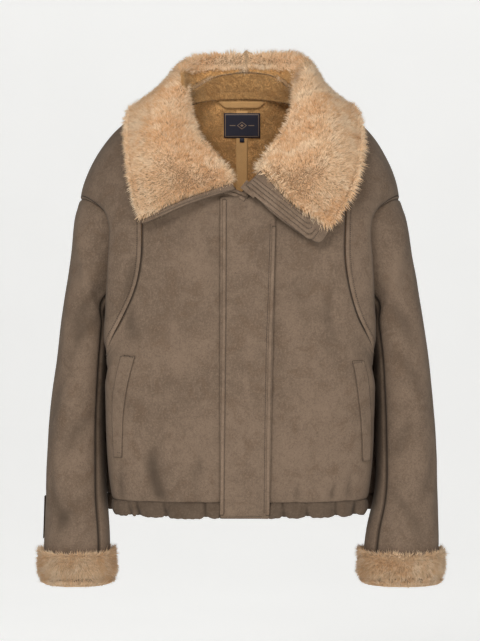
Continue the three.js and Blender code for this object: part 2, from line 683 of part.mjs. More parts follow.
// The fur collar's outside, from the wearer's right front round the neck to the left front. Each row has the
// edge inside the neck, the top of the roll, the middle of the fall and the outer edge.
const COLLAR_COLUMNS = ['insideX', 'insideY', 'insideZ', 'rollX', 'rollY', 'rollZ', 'middleX', 'middleY',
  'middleZ', 'edgeX', 'edgeY', 'edgeZ'];
const COLLAR = table(COLLAR_COLUMNS, [
  [-12, -126, -144, -10, -144, -149, -80, -164, -176, -144, -158, -206],
  [-25, -114, -119, -27, -134, -126, -92, -164, -150, -156, -148, -176],
  [-45, -92, -97, -47, -114, -103, -104, -152, -118, -163, -132, -139],
  [-62, -60, -67, -67, -82, -72, -116, -124, -84, -168, -108, -108],
  [-72, -27, -37, -78, -42, -30, -124, -80, -44, -171, -72, -74],
  [-77, 6, -5, -88, 0, 22, -128, -22, -10, -170, -25, -38],
  [-66, 40, 4, -84, 42, 51, -118, 52, 10, -148, 52, -20],
  [-38, 60, 24, -52, 78, 68, -86, 102, 28, -110, 98, -30],
  [6, 68, 32, 12, 92, 71, 10, 122, 30, 8, 118, -36],
  [50, 60, 26, 74, 78, 70, 104, 102, 28, 122, 98, -30],
  [72, 40, 4, 101, 42, 52, 130, 52, 10, 160, 52, -22],
  [79, 6, -2, 96, 0, 22, 136, -22, -10, 178, -25, -37],
  [75, -29, -26, 86, -46, -27, 134, -80, -45, 184, -70, -78],
  [69, -59, -50, 79, -84, -70, 128, -124, -86, 179, -108, -108],
  [51, -86, -85, 64, -110, -96, 118, -152, -118, 172, -132, -140],
  [36, -107, -110, 46, -130, -114, 102, -164, -146, 160, -148, -172],
  [23, -124, -138, 29, -142, -132, 72, -166, -181, 131, -158, -219],
]);
const COLLAR_MARKS = ['inside', 'roll', 'middle', 'edge'];
const FUR_DEPTH = table(['depth'], [[7], [9], [13], [8]]);
const COLLAR_CENTRE = 8;
const COLLAR_ACROSS = 10;

function collarPoint(along, across) {
  const row = rowAt(COLLAR, along);
  const marks = COLLAR_MARKS.map((mark) => ({ x: row[`${mark}X`], y: row[`${mark}Y`], z: row[`${mark}Z`] }));
  const point = rowAt(marks, across);
  return new THREE.Vector3(point.x, point.y, point.z);
}

function collarNormal(along, across) {
  const last = COLLAR.length - 1;
  const lengthwise = collarPoint(Math.min(along + 0.1, last), across)
    .sub(collarPoint(Math.max(along - 0.1, 0), across));
  const crosswise = collarPoint(along, Math.min(across + 0.15, 3))
    .sub(collarPoint(along, Math.max(across - 0.15, 0)));
  return lengthwise.cross(crosswise).normalize();
}

function collarSection(along) {
  const outer = [];
  const inner = [];
  for (let k = 0; k <= COLLAR_ACROSS; k += 1) {
    const across = (k / COLLAR_ACROSS) * (COLLAR_MARKS.length - 1);
    const depth = rowAt(FUR_DEPTH, across).depth;
    const point = collarPoint(along, across);
    outer.push(point);
    inner.push(point.clone().addScaledVector(collarNormal(along, across), -depth));
  }
  return { outer, inner };
}

function makeCollar() {
  const steps = 18;
  const seam = 0.012;
  const halves = [['right', 0, COLLAR_CENTRE - seam], ['left', COLLAR_CENTRE + seam, COLLAR.length - 1]];
  for (const [hand, from, to] of halves) {
    const sections = Array.from({ length: steps + 1 }, (_, k) => collarSection(blend(from, to, k / steps)));
    loft(`collar_fur_${hand}`, FUR, sections);
  }
}

// The fleece stand between the neck seam and the fur
const STAND_FROM = 3;
const STAND_TO = 13;
const STAND_WALL = 3;
const STAND_FOOT = 4.8;         // the stand's foot clears the slope of the neck edge

// The point of the body's neck edge under a place along the collar
function neckEdge(along) {
  const side = along < COLLAR_CENTRE ? -1 : 1;
  const away = Math.abs(along - COLLAR_CENTRE);
  const shoulder = 3;           // rows of the collar between its centre back and the shoulder
  if (away <= shoulder) return bodyPoint(BACK, side, 0, 4 * (1 - away / shoulder), -WALL / 2);
  return bodyPoint(FRONT, side, 0, away - shoulder, -WALL / 2);
}

function makeStand() {
  const steps = 24;
  const sections = [];
  for (let k = 0; k <= steps; k += 1) {
    const along = blend(STAND_FROM, STAND_TO, k / steps);
    const top = collarPoint(along, 0);
    const bottom = neckEdge(along);
    const rise = top.clone().sub(bottom);
    const gap = rise.clone().setLength(2 * SEAM);
    const foot = rise.clone().setLength(STAND_FOOT);
    const outward = collarNormal(along, 0);
    outward.addScaledVector(rise, -outward.dot(rise) / rise.lengthSq()).setLength(STAND_WALL);
    const inner = [];
    const outer = [];
    for (const share of [0, 0.5, 1]) {
      const point = bottom.clone().add(foot).lerp(top.clone().sub(gap), share);
      outer.push(point);
      inner.push(point.clone().sub(outward));
    }
    sections.push({ outer, inner });
  }
  loft('collar_stand', FLEECE, sections);
}

// The collar's front edges. Across is where along the edge, wide is how far the band stands past the fur, and
// lean tips it away from the body or towards it.
const BAND_COLUMNS = ['across', 'wide', 'lean'];
const ZIP_EDGE = table(BAND_COLUMNS, [
  [1.05, 11, 0],
  [1.4, 10, 0],
  [2, 9, 0],
  [2.6, 8, 0],
  [2.95, 5, 0],
]);
const STITCHED_BAND = table(BAND_COLUMNS, [
  [1, 38, -0.3],
  [1.5, 31, -0.1],
  [2, 28, 0.1],
  [2.5, 28, 0.15],
  [2.8, 27, 0.15],
  [2.9, 24, 0.15],
  [2.95, 18, 0.15],
]);

function makeBand(name, rows, end, inward, sunk, wall) {
  const steps = 16;
  const sections = [];
  for (let k = 0; k <= steps; k += 1) {
    const row = rowAt(rows, (k / steps) * (rows.length - 1));
    const edge = collarPoint(end, row.across);
    const beyond = edge.clone().sub(collarPoint(inward, row.across)).normalize();
    const normal = collarNormal(end, row.across);
    beyond.y += row.lean;
    beyond.normalize();
    const outer = [];
    const inner = [];
    for (const share of [0, 0.35, 0.7, 1]) {
      const point = edge.clone().addScaledVector(beyond, blend(2 * SEAM, row.wide, share));
      outer.push(point.clone().addScaledVector(normal, -sunk));
      inner.push(point.clone().addScaledVector(normal, -sunk - wall));
    }
    sections.push({ outer, inner });
  }
  loft(name, SUEDE_TRIM, sections);
}

const TAB_LIFT = SEAM + 0.6;    // the sleeve is round here, so the tab's facets need more room

// Small tabs on the sleeves over the cuffs: from and to which place round the sleeve
function makeTabs() {
  for (const [side, hand, from, to] of [[-1, 'right', -4.2, 0.5], [1, 'left', -5.4, -1.4]]) {
    const sections = Array.from({ length: 6 }, (_, k) => {
      const around = blend(from, to, k / 5);
      const places = [8.15, 8.5, 8.85, 9.2, 9.35];
      return {
        outer: places.map((place) => sleevePoint(side, place, around, TAB_LIFT + TRIM_WALL)),
        inner: places.map((place) => sleevePoint(side, place, around, TAB_LIFT)),
      };
    });
    loft(`sleeve_tab_${hand}`, SUEDE_TRIM, sections);
  }
}

makeFronts();
makeBacks();
makeHem();
makeSleeves();
makeCuffs();
makePlacket();
makeWelts();
makeNeckTrim();
makeCollar();
makeStand();
makeBand('collar_band_right', ZIP_EDGE, 0, 0.3, 3, 3);
makeBand('collar_band_left', STITCHED_BAND, COLLAR.length - 1, COLLAR.length - 1.3, 2, 4);
makeTabs();

export default jacket;
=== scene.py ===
"""A short fleece-lined suede jacket with a folded fur collar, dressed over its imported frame.

Metres, +Z up, the front faces -Y. Right and left are the wearer's: right is -X.
"""
import json
import math
import bmesh
import bpy
from mathutils import Matrix, Vector, noise
from mathutils.bvhtree import BVHTree
from mathutils.kdtree import KDTree

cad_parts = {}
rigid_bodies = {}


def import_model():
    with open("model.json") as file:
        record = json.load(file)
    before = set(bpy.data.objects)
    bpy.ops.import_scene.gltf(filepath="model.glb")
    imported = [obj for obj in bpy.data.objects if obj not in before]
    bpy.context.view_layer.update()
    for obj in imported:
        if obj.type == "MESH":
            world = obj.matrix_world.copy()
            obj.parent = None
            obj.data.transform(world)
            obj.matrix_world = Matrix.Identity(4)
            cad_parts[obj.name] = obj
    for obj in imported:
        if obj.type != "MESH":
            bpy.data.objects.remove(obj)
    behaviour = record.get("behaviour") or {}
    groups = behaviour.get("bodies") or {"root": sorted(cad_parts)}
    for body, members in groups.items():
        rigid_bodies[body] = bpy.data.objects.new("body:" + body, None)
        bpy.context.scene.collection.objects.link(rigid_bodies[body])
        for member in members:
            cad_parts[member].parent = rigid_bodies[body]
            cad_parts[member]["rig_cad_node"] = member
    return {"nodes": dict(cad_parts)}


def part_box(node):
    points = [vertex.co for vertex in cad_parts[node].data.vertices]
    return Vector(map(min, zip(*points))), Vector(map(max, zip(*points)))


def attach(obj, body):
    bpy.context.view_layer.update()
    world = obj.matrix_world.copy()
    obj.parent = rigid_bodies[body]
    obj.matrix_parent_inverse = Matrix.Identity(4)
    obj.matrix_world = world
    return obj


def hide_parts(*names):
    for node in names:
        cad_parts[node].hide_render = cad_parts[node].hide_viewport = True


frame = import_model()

bl_info = {
    "name": "Shearling Jacket",
    "version": (1, 0, 0),
    "blender": (4, 5, 0),
    "location": "View3D > Sidebar > Jacket",
    "description": "Builds a fleece-lined suede jacket over its packed frame",
    "category": "Object",
}

MM = 0.001

# The photograph's frame: one pixel is this wide at the middle of the neck
PIXEL = 1.5 * MM
PHOTO_WIDTH = 480
PHOTO_HEIGHT = 641
CAMERA = Vector((0, -3.0, -0.348))
SENSOR = 36.0

SHELL_THICK = 2.8 * MM          # suede and fleece together
SHARP = math.radians(52)        # edges sharper than this part the outside of a piece from its rim
SMOOTH_ANGLE = math.radians(62)  # finished edges sharper than this look sharp
SEAM_PRESS = 1.8 * MM           # how far a seam is drawn in
SEAM_REACH = 5 * MM
SEAM_PUFF = 0.8 * MM            # how far the padded cloth swells beside a seam
SEAM_JOIN = 5 * MM              # edges closer than this are sewn to each other
CLOTH_WAVES = 1.1 * MM          # the slow unevenness of a panel
STRIP_STEP = 4 * MM             # from one point of a lapped strip to the next
STITCH_LONG = 1.8 * MM
STITCH_THICK = 1.25 * MM

# Strands in each piece of fur or fleece, and how wide they are at the foot
COLLAR_STRANDS = 58000
CUFF_STRANDS = 28000
LEAF_FLEECE_STRANDS = 8000
STAND_FLEECE_STRANDS = 10000
BACK_FLEECE_STRANDS = 9000
NECK_SEAM_STRANDS = 3000
COLLAR_STRAND_WIDE = 0.55 * MM
STRAND_WIDE = 0.6 * MM

FRONTS = ["front_centre_right", "front_centre_left", "front_side_right", "front_side_left"]
BACKS = ["back_right", "back_left"]
SLEEVES = ["sleeve_upper_right", "sleeve_upper_left", "sleeve_under_right", "sleeve_under_left"]
HEMS = ["hem_front_right", "hem_front_left", "hem_back"]
POCKETS = ["pocket_welt_right", "pocket_welt_left"]
NECK_TRIM = {"back_tape": "tape", "hang_loop": "tape", "neck_label": "label", "size_tab": "label"}

# Soft creases of the body: from and to in X and Z, width and depth. A negative depth is a trough. All in mm.
FRONT_CREASES = [
    (-124, -520, -96, -642, 14, -5.4),
    (-48, -530, -57, -640, 11, -4.0),
    (-171, -556, -158, -636, 6, -3.0),
    (-76, -556, -78, -636, 9, 2.4),
    (-145, -552, -136, -636, 9, 2.2),
    (-122, -212, -152, -392, 12, -3.2),
    (-104, -240, -118, -400, 20, 1.6),
    (-172, -330, -110, -380, 16, -1.0),
    (-60, -260, -104, -350, 26, -1.4),
    (-50, -190, -96, -236, 14, -1.6),
    (88, -574, 97, -642, 6, -4.0),
    (141, -576, 139, -642, 6, -4.0),
    (116, -584, 118, -640, 9, 2.0),
    (62, -590, 62, -640, 7, -2.2),
    (166, -560, 170, -640, 7, -2.8),
    (145, -262, 146, -404, 12, -2.8),
    (122, -262, 124, -420, 20, 1.4),
    (176, -345, 112, -404, 17, -1.0),
    (80, -270, 122, -360, 24, -1.4),
    (6, -262, 12, -420, 20, -1.0),
    (8, -470, -4, -600, 12, -1.2),
]
BACK_CREASES = [
    (-150, -470, -110, -600, 15, -3),
    (-90, -500, -84, -606, 12, -2.2),
    (-30, -520, -36, -606, 11, -2.6),
    (40, -510, 34, -606, 12, -2.2),
    (96, -490, 104, -606, 13, -3),
    (150, -520, 146, -608, 11, -2.4),
    (-170, -330, -100, -390, 18, -2.4),
    (172, -335, 104, -400, 18, -2.4),
    (-120, -190, -60, -250, 20, -1.6),
    (118, -200, 56, -262, 20, -1.6),
    (-60, -300, 40, -330, 24, -1.2),
]
# Soft creases of the sleeves: from and to round the sleeve in degrees (0 outside, 90 front) and in Z
SLEEVE_CREASES_RIGHT = [
    (120, -290, 70, -380, 15, -3.2),
    (130, -330, 60, -430, 13, -2.6),
    (100, -250, 40, -330, 17, 2),
    (80, -420, 20, -520, 14, -2.4),
    (130, -470, 60, -560, 13, -2.8),
    (40, -560, 90, -660, 14, -2.6),
    (110, -600, 50, -690, 11, -2.2),
    (-60, -300, -110, -400, 15, -3),
    (-50, -430, -120, -520, 14, -2.6),
    (-40, -560, -110, -650, 13, -2.4),
    (10, -600, -20, -690, 12, -1.8),
]
SLEEVE_CREASES_LEFT = [
    (125, -300, 60, -400, 15, -3.2),
    (60, -250, 100, -340, 16, 2),
    (115, -380, 50, -470, 13, -2.6),
    (70, -470, 120, -560, 14, -2.6),
    (30, -520, 80, -620, 14, -2.4),
    (120, -590, 60, -690, 12, -2.8),
    (-60, -310, -115, -410, 15, -3),
    (-45, -450, -115, -540, 14, -2.6),
    (-50, -580, -110, -670, 13, -2.4),
    (0, -560, -30, -680, 12, -1.8),
]

# Where the elastic hem is drawn in, along X in mm
FRONT_PINCHES = [-161, -148, -108, -50, 62, 96, 138, 166]
BACK_PINCHES = [-152, -121, -96, -61, -27, 10, 43, 72, 104, 131, 156]
NECK_CLEAR = -32 * MM           # no sewing above this at the back, under the collar
COLLAR_SEAM = 9.5 * MM          # the collar's centre-back seam, along X
BACK_BULGE = {"right": 17 * MM, "left": 21 * MM}     # how far the back stands out beside the front's hem
CUFF_MIDDLE = (0.241, -0.019)   # X on the left side, and Y
CUFF_LOW = -0.734               # the cuffs' lower edge, along Z

# The shorn lining inside the neck, in the photograph's rows and in columns from its middle
LINING_ROWS = (66, 104)
LINING_HALF = 56
LINING_FRONT = -70 * MM         # it ends here, along Y
NECK_SEAM_ROW = 95.4            # the seam under the stand at its middle
NECK_SEAM_HALF = 84             # its half length in mm
NECK_SEAM_DROP = 6.5            # its ends lie this many rows lower

# Panels, the neighbours that they are sewn to, a lapped strip's width and the stitches' inset
SEAMS = [
    ("front_side_right", ("front_centre_right",), 5.4, 6.6),
    ("front_side_left", ("front_centre_left",), 5.4, 6.6),
    ("front_side_right", ("sleeve_upper_right", "sleeve_under_right"), 5.6, 6.6),
    ("front_side_left", ("sleeve_upper_left", "sleeve_under_left"), 5.6, 6.6),
    ("back_right", ("sleeve_upper_right", "sleeve_under_right"), 5.6, 6.6),
    ("back_left", ("sleeve_upper_left", "sleeve_under_left"), 5.6, 6.6),
    ("back_left", ("back_right",), 6.6, 7.6),
]

# Where the sewing shows, in the photograph's pixels
FLAP_STRIPS = {
    "flap_strip_sewn": [(224.3, 199), (224.1, 260), (223.7, 340), (222.7, 430), (221.7, 517)],
    "flap_strip_free": [(273.9, 226), (272, 290), (270, 345), (269.1, 400), (268.2, 450), (267.7, 517)],
}
FLAP_STITCHES = [
    [(226.6, 200), (226.4, 260), (226, 340), (225, 430), (224.2, 515)],
    [(270.3, 224), (268.4, 290), (266.4, 345), (265.5, 400), (264.7, 450), (264.2, 515)],
    [(226, 517), (262, 516.4)],
]
POCKET_STITCHES = [
    [(123.6, 355.2), (135.6, 358.2)],
    [(117.2, 452), (123.4, 454.4)],
    [(352, 363.4), (362.6, 362)],
]
BAND_START = (241, 190)         # the stitched band's lower edge starts here
BAND_RUN = (0.782, 0.623)       # and runs this way
BAND_LONG = 89.8
BAND_ROWS = [3.2, 7.2, 11.2, 15, 18.6]
BAND_CORNER = 4
BAND_TOP = 17
BAND_STEP = 2.6                 # mm from one stitch to the next
ZIP_EDGE = [(150, 216.2), (160, 212.4), (170, 208.2), (180, 203.8), (190, 199.8), (205, 194.8), (220, 190.6),
            (231, 189)]
NOTCH_FOLDS = [
    [(222, 188), (232, 190.4), (242, 193.8), (249, 198)],
    [(223, 191.6), (232, 194), (241, 197.6), (247, 201)],
]
FLAP_EDGE = (276.5, 226)        # a pixel on the flap's free edge
FLAP_LEAN = 0.0225              # columns that the edge runs in for each row

# Area lamps: name, place, size, power and colour
LAMPS = [
    ("key", (-0.8, -3.3, 1.3), 1.1, 66, (1.0, 0.99, 0.975)),
    ("fill", (1.0, -3.3, -0.5), 1.6, 30, (1.0, 0.995, 0.99)),
    ("back_left", (-2.2, 2.0, 1.2), 1.2, 5, (1.0, 1.0, 1.0)),
    ("back_right", (2.2, 2.0, 1.2), 1.2, 5, (1.0, 1.0, 1.0)),
]
LAMP_AIM = Vector((0, 0, -0.3))
WORLD_COLOUR = (1.0, 0.995, 0.985, 1)
WORLD_STRENGTH = 0.34
FLOOR_DEPTH = -1.25
FLOOR_GLOW = 0.43
BACKDROP_HIGH = 9
BACKDROP_BEND = 2.5


def ease(start, end, value):
    """From 0 at the start to 1 at the end, with a soft run between them"""
    share = min(max((value - start) / (end - start), 0), 1)
    return share * share * (3 - 2 * share)


def photo_row(place):
    """The photograph's row at which a place shows"""
    return PHOTO_HEIGHT / 2 - (place.z - CAMERA.z) / PIXEL * CAMERA.y / (CAMERA.y - place.y)


def photo_aside(place):
    """How many columns to the right of the photograph's middle a place shows"""
    return place.x / PIXEL * CAMERA.y / (CAMERA.y - place.y)


def tree_of(places):
    """A search tree over places"""
    tree = KDTree(len(places))
    for index, place in enumerate(places):
        tree.insert(place, index)
    tree.balance()
    return tree


def move_points(form, moves):
    for vert, move in zip(form.verts, moves):
        vert.co += move


# Pieces made from a node's own form


def merged(node):
    """A copy of a node's mesh, with its loose triangles merged and joined to four-sided faces"""
    form = bmesh.new()
    form.from_mesh(frame["nodes"][node].data)
    bmesh.ops.remove_doubles(form, verts=form.verts, dist=0.02 * MM)
    bmesh.ops.join_triangles(
        form,
        faces=form.faces,
        angle_face_threshold=math.radians(60),
        angle_shape_threshold=math.radians(70),
    )
    return form


def sides(form):
    """The faces in groups that sharp edges part, the largest first"""
    left = set(form.faces)
    groups = []
    while left:
        group = [left.pop()]
        for face in group:
            for edge in face.edges:
                if len(edge.link_faces) != 2 or edge.calc_face_angle(0) > SHARP:
                    continue
                for other in edge.link_faces:
                    if other in left:
                        left.remove(other)
                        group.append(other)
        groups.append(group)
    groups.sort(key=lambda group: -sum(face.calc_area() for face in group))
    return groups


def outside(node):
    """The outer side of a node's form as an open sheet"""
    form = merged(node)
    keep = set(sides(form)[0])
    bmesh.ops.delete(form, geom=[face for face in form.faces if face not in keep], context="FACES")
    return form


def hold_form(form):
    """Moves each point out by what a smooth subdivision would draw it in"""
    moved = {}
    for vert in form.verts:
        edges = vert.link_edges
        if vert.is_boundary:
            edges = [edge for edge in edges if edge.is_boundary]
            if len(vert.link_faces) == 1:
                continue
        elif any(edge.calc_face_angle(0) > SHARP for edge in edges):
            continue
        around = [edge.other_vert(vert).co for edge in edges]
        if len(around) in (2, 4):
            moved[vert] = vert.co + (vert.co * len(around) - sum(around, Vector())) / 6
    for vert, place in moved.items():
        vert.co = place


def subdivided(form, levels):
    """The form after a smooth subdivision, as a new bmesh"""
    mesh = bpy.data.meshes.new("working")
    form.to_mesh(mesh)
    form.free()
    working = bpy.data.objects.new("working", mesh)
    bpy.context.scene.collection.objects.link(working)
    smooth = working.modifiers.new("Smooth", "SUBSURF")
    smooth.levels = levels
    smooth.render_levels = levels
    smooth.boundary_smooth = "PRESERVE_CORNERS"
    made = bmesh.new()
    made.from_object(working, bpy.context.evaluated_depsgraph_get())
    bpy.data.objects.remove(working)
    bpy.data.meshes.remove(mesh)
    return made


def crease_edges(form, amount):
    """Keeps the sharp edges of a closed form through a smooth subdivision"""
    layer = form.edges.layers.float.new("crease_edge")
    for edge in form.edges:
        if edge.calc_face_angle(0) > SHARP:
            edge[layer] = amount


def rim_distance(form):
    """How far each point is from the nearest edge of its open sheet, in step with the points"""
    tree = tree_of([vert.co.copy() for vert in form.verts if vert.is_boundary])
    return [tree.find(vert.co)[2] for vert in form.verts]


def crease_depth(x, z, creases, scale):
    """How far the creases move the cloth at a place, each a bowed line that fades out at its ends"""
    depth = 0
    for from_x, from_z, to_x, to_z, width, deep in creases:
        run = Vector((to_x - from_x, to_z - from_z))
        gone = Vector((x - from_x, z - from_z))
        along = gone.dot(run) / run.length_squared
        if not -0.05 < along < 1.05:
            continue
        along = min(max(along, 0), 1)
        arch = math.sin(along * math.pi)
        bow = 0.12 * run.length * arch * (1 if deep < 0 else -1)
        away = (gone.cross(run) / run.length - bow) / (width * (0.7 + 0.5 * along))
        if abs(away) < 3:
            depth += deep * arch ** 0.7 * math.exp(-away * away) * scale
    return depth


def body_crease(place, scale):
    creases = FRONT_CREASES if place.y < 0 else BACK_CREASES
    return crease_depth(place.x / MM, place.z / MM, creases, scale) * MM


def sleeve_crease(place, scale):
    side = 1 if place.x > 0 else -1
    creases = SLEEVE_CREASES_LEFT if side > 0 else SLEEVE_CREASES_RIGHT
    share = (-0.25 - place.z) / 0.48
    middle = Vector((0.222 + 0.02 * share, -0.019 * share))
    turn = math.degrees(math.atan2(middle.y - place.y, side * place.x - middle.x))
    depth = 0
    for lap in (-360, 0, 360):
        depth += crease_depth(turn + lap, place.z / MM, creases, scale)
    return depth * MM


def cloth_waves(place, height):
    """The slow unevenness of a soft panel"""
    return noise.noise(place * 14) * height + noise.noise(place * 34 + Vector((5, 2, 9))) * height * 0.35


def dress(form, crease, scale):
    """Draws a panel's seams in and puts its creases in"""
    form.normal_update()
    near = form.verts.layers.float.new("near_seam")
    fold = form.verts.layers.float.new("fold")
    moves = []
    for vert, away in zip(form.verts, rim_distance(form)):
        share = away / SEAM_REACH
        press = -SEAM_PRESS * math.exp(-share * share * 2)
        puff = SEAM_PUFF * share * math.exp(1 - share) if share < 6 else 0
        free = min(share / 2, 1)
        deep = crease(vert.co, scale) * free
        wave = cloth_waves(vert.co, CLOTH_WAVES) * free
        # painted shade: how strongly the suede is darkened beside the seam
        vert[near] = math.exp(-share * share * 1.2)
        # the crease depth, which the suede turns into a painted highlight on ridges and painted shade in
        # troughs
        vert[fold] = deep / (3 * MM)
        moves.append(vert.normal * (press + puff + deep + wave))
    move_points(form, moves)


def make_object(form, name, materials):
    for face in form.faces:
        face.smooth = True
    mesh = bpy.data.meshes.new(name)
    form.to_mesh(mesh)
    form.free()
    for material in materials:
        mesh.materials.append(material)
    piece = bpy.data.objects.new(name, mesh)
    bpy.context.scene.collection.objects.link(piece)
    return piece


def bake(piece):
    """Applies what the piece's modifiers make"""
    made = bpy.data.meshes.new_from_object(piece.evaluated_get(bpy.context.evaluated_depsgraph_get()))
    old = piece.data
    piece.modifiers.clear()
    piece.data = made
    bpy.data.meshes.remove(old)
    made.name = piece.name
    made.set_sharp_from_angle(angle=SMOOTH_ANGLE)


def give_wall(piece, thick, inner):
    """Turns a sheet into a wall. Its inner side has the material that many places further on."""
    wall = piece.modifiers.new("Wall", "SOLIDIFY")
    wall.thickness = thick
    wall.offset = -1
    wall.use_even_offset = False
    wall.use_rim = True
    wall.material_offset = inner
    wall.material_offset_rim = 0
    bake(piece)


def panel(node, crease, scale, swell=None):
    """A cloth panel: the node's outer side, smoothed, creased and given its wall"""
    form = outside(node)
    hold_form(form)
    form = subdivided(form, 2)
    if swell:
        move_points(form, [swell(vert.co) for vert in form.verts])
    dress(form, crease, scale)
    form.to_mesh(bpy.data.meshes.new(node + "_sheet"))
    piece = make_object(form, node + "_cloth", [finish_of("suede"), finish_of("fleece")])
    give_wall(piece, SHELL_THICK, 1)
    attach(piece, "root")
    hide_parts(node)


def edge_tree(form):
    """A tree of places along a form's sharp edges, 1 mm apart"""
    places = []
    for edge in form.edges:
        if edge.calc_face_angle(0) > SHARP:
            first, last = (vert.co for vert in edge.verts)
            parts = max(round(edge.calc_length() / (1 * MM)), 1)
            places.extend(first.lerp(last, part / parts) for part in range(parts + 1))
    return tree_of(places)


def soft_solid(node, finish, levels=2, crease=0.8, shape=None, swell=None, dark=None, edge=0.8):
    """A small piece: the node's whole form, smoothed with its edges held"""
    form = merged(node)
    edges = edge_tree(form)
    crease_edges(form, crease)
    form = subdivided(form, levels)
    if swell:
        move_points(form, [swell(vert.co) for vert in form.verts])
    form.normal_update()
    near = form.verts.layers.float.new("near_seam")
    moves = []
    for vert in form.verts:
        # painted shade along the piece's sharp edges, or as much as dark gives, such as under the hem
        line = edge * math.exp(-(edges.find(vert.co)[2] / (1.6 * MM)) ** 2)
        vert[near] = max(line, dark(vert.co) if dark else 0)
        moves.append(vert.normal * (shape(vert.co) if shape else 0))
    move_points(form, moves)
    piece = make_object(form, node + "_cloth", [finish_of(finish)])
    piece.data.set_sharp_from_angle(angle=SMOOTH_ANGLE)
    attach(piece, "root")
    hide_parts(node)
    return piece


# Seams


def rims(form):
    """The edges of an open sheet as rings of places, each with its normal and the way into the sheet"""
    left = {edge for edge in form.edges if edge.is_boundary}
    rings = []
    while left:
        ring = list(left.pop().verts)
        while True:
            ahead = next((edge for edge in ring[-1].link_edges if edge in left), None)
            if ahead is None:
                break
            left.remove(ahead)
            ring.append(ahead.other_vert(ring[-1]))
        if ring[0] is ring[-1]:
            ring.pop()
        places = []
        for index, vert in enumerate(ring):
            run = ring[(index + 1) % len(ring)].co - ring[index - 1].co
            inward = vert.normal.cross(run).normalized()
            faces = vert.link_faces
            middle = sum((face.calc_center_median() for face in faces), Vector()) / len(faces)
            if inward.dot(middle - vert.co) < 0:
                inward = -inward
            places.append((vert.co.copy(), vert.normal.copy(), inward))
        rings.append(places)
    return rings


def sheet_form(node):
    form = bmesh.new()
    form.from_mesh(bpy.data.meshes[node + "_sheet"])
    form.normal_update()
    return form


def sewn_runs(ring, neighbours, inset):
    """The parts of an edge that are sewn to the neighbours, each as a line an inset into the sheet"""
    close = [neighbours.find(place)[2] < SEAM_JOIN for place, _, _ in ring]
    if not any(close):
        return []
    count = len(ring)
    first = next((k for k in range(count) if close[k] and not close[k - 1]), 0)
    order = [(first + k) % count for k in range(count)]
    runs = []
    run = []
    for index, joined in [(k, close[k]) for k in order] + [(first, False)]:
        place, _, inward = ring[index]
        if joined:
            run.append(place + inward * inset)
            continue
        if len(run) > 6:
            runs.append(run)
        run = []
    return runs


def calmed(line):
    """A line of places with its small jogs evened out"""
    for _ in range(6):
        inner = [(before + here * 2 + after) / 4 for before, here, after in zip(line, line[1:], line[2:])]
        line = [line[0], *inner, line[-1]]
    return line


def seam_lines(node, neighbours, inset, step):
    """Lines of places on one panel, an inset away from its seams with its neighbours"""
    form = sheet_form(node)
    surface = BVHTree.FromBMesh(form)
    others = []
    for name in neighbours:
        other = sheet_form(name)
        others.extend(vert.co.copy() for vert in other.verts if vert.is_boundary)
        other.free()
    tree = tree_of(others)
    made = []
    for line in [run for ring in rims(form) for run in sewn_runs(ring, tree, inset)]:
        places = []
        for place in even_steps([tuple(point) for point in calmed(line)], step):
            on, normal, _, _ = surface.find_nearest(place)
            if on.z < NECK_CLEAR or on.y < 0:
                places.append((on, normal))
        if len(places) > 4:
            made.append(places)
    form.free()
    return made


# Places on the finished cloth


def surface_of(names):
    """One tree over the finished meshes of these pieces"""
    verts = []
    faces = []
    for name in names:
        mesh = bpy.data.objects[name].data
        start = len(verts)
        verts.extend(vert.co.copy() for vert in mesh.vertices)
        faces.extend([start + index for index in face.vertices] for face in mesh.polygons)
    return BVHTree.FromPolygons(verts, faces)


def seen(surface, pixel):
    """Where the photograph's view meets the cloth at a pixel, and which way the cloth faces, if it does"""
    aim = Vector(((pixel[0] - PHOTO_WIDTH / 2) * PIXEL, 3.0, -(pixel[1] - PHOTO_HEIGHT / 2) * PIXEL))
    place, normal, _, _ = surface.ray_cast(CAMERA, aim.normalized())
    return (place, normal) if place is not None else None


def even_steps(points, step):
    """Points a step apart along a line of points, with a smooth run between them"""
    line = []
    for index in range(len(points) - 1):
        before = Vector(points[max(index - 1, 0)])
        start = Vector(points[index])
        end = Vector(points[index + 1])
        after = Vector(points[min(index + 2, len(points) - 1)])
        for part in range(12):
            t = part / 12
            pull = (end - before) / 2
            push = (after - start) / 2
            bend = 2 * (start - end) + pull + push
            lean = 3 * (end - start) - 2 * pull - push
            line.append(((bend * t + lean) * t + pull) * t + start)
    line.append(Vector(points[-1]))
    spaced = [line[0]]
    left = step
    for start, end in zip(line, line[1:]):
        gone = 0
        long = (end - start).length
        while long - gone >= left:
            gone += left
            spaced.append(start.lerp(end, gone / long))
            left = step
        left -= long - gone
    return spaced


# strips take the suede's lighter copy by default, a painted highlight on raised cloth
def strip(name, places, width, height, finish="suede_trim", wall=1.0 * MM, edge=0.95):
    """A flat strip of cloth that lies along places on a surface. Each place is a point and its normal."""
    across = 6
    form = bmesh.new()
    bmesh.ops.create_grid(form, x_segments=len(places) - 1, y_segments=across, size=0.5)
    form.verts.ensure_lookup_table()
    for vert in form.verts:
        k = round((vert.co.x + 0.5) * (len(places) - 1))
        share = vert.co.y
        place, normal = places[k]
        run = places[min(k + 1, len(places) - 1)][0] - places[max(k - 1, 0)][0]
        aside = run.cross(normal).normalized()
        taper = min(k, len(places) - 1 - k, 2) / 2
        crown = height * (1 - (abs(share) * 2) ** 4) * (0.4 + 0.6 * taper)
        vert.co = place + aside * width * share + normal * (crown + 0.1 * MM)
    near = form.verts.layers.float.new("near_seam")
    # painted shade along the strip's edges
    for vert in form.verts:
        if vert.is_boundary:
            vert[near] = edge
    form.normal_update()
    if sum((face.normal.dot(places[0][1]) for face in form.faces), 0) < 0:
        bmesh.ops.reverse_faces(form, faces=form.faces)
    piece = make_object(form, name, [finish_of(finish)])
    give_wall(piece, wall, 0)
    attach(piece, "root")
    return piece


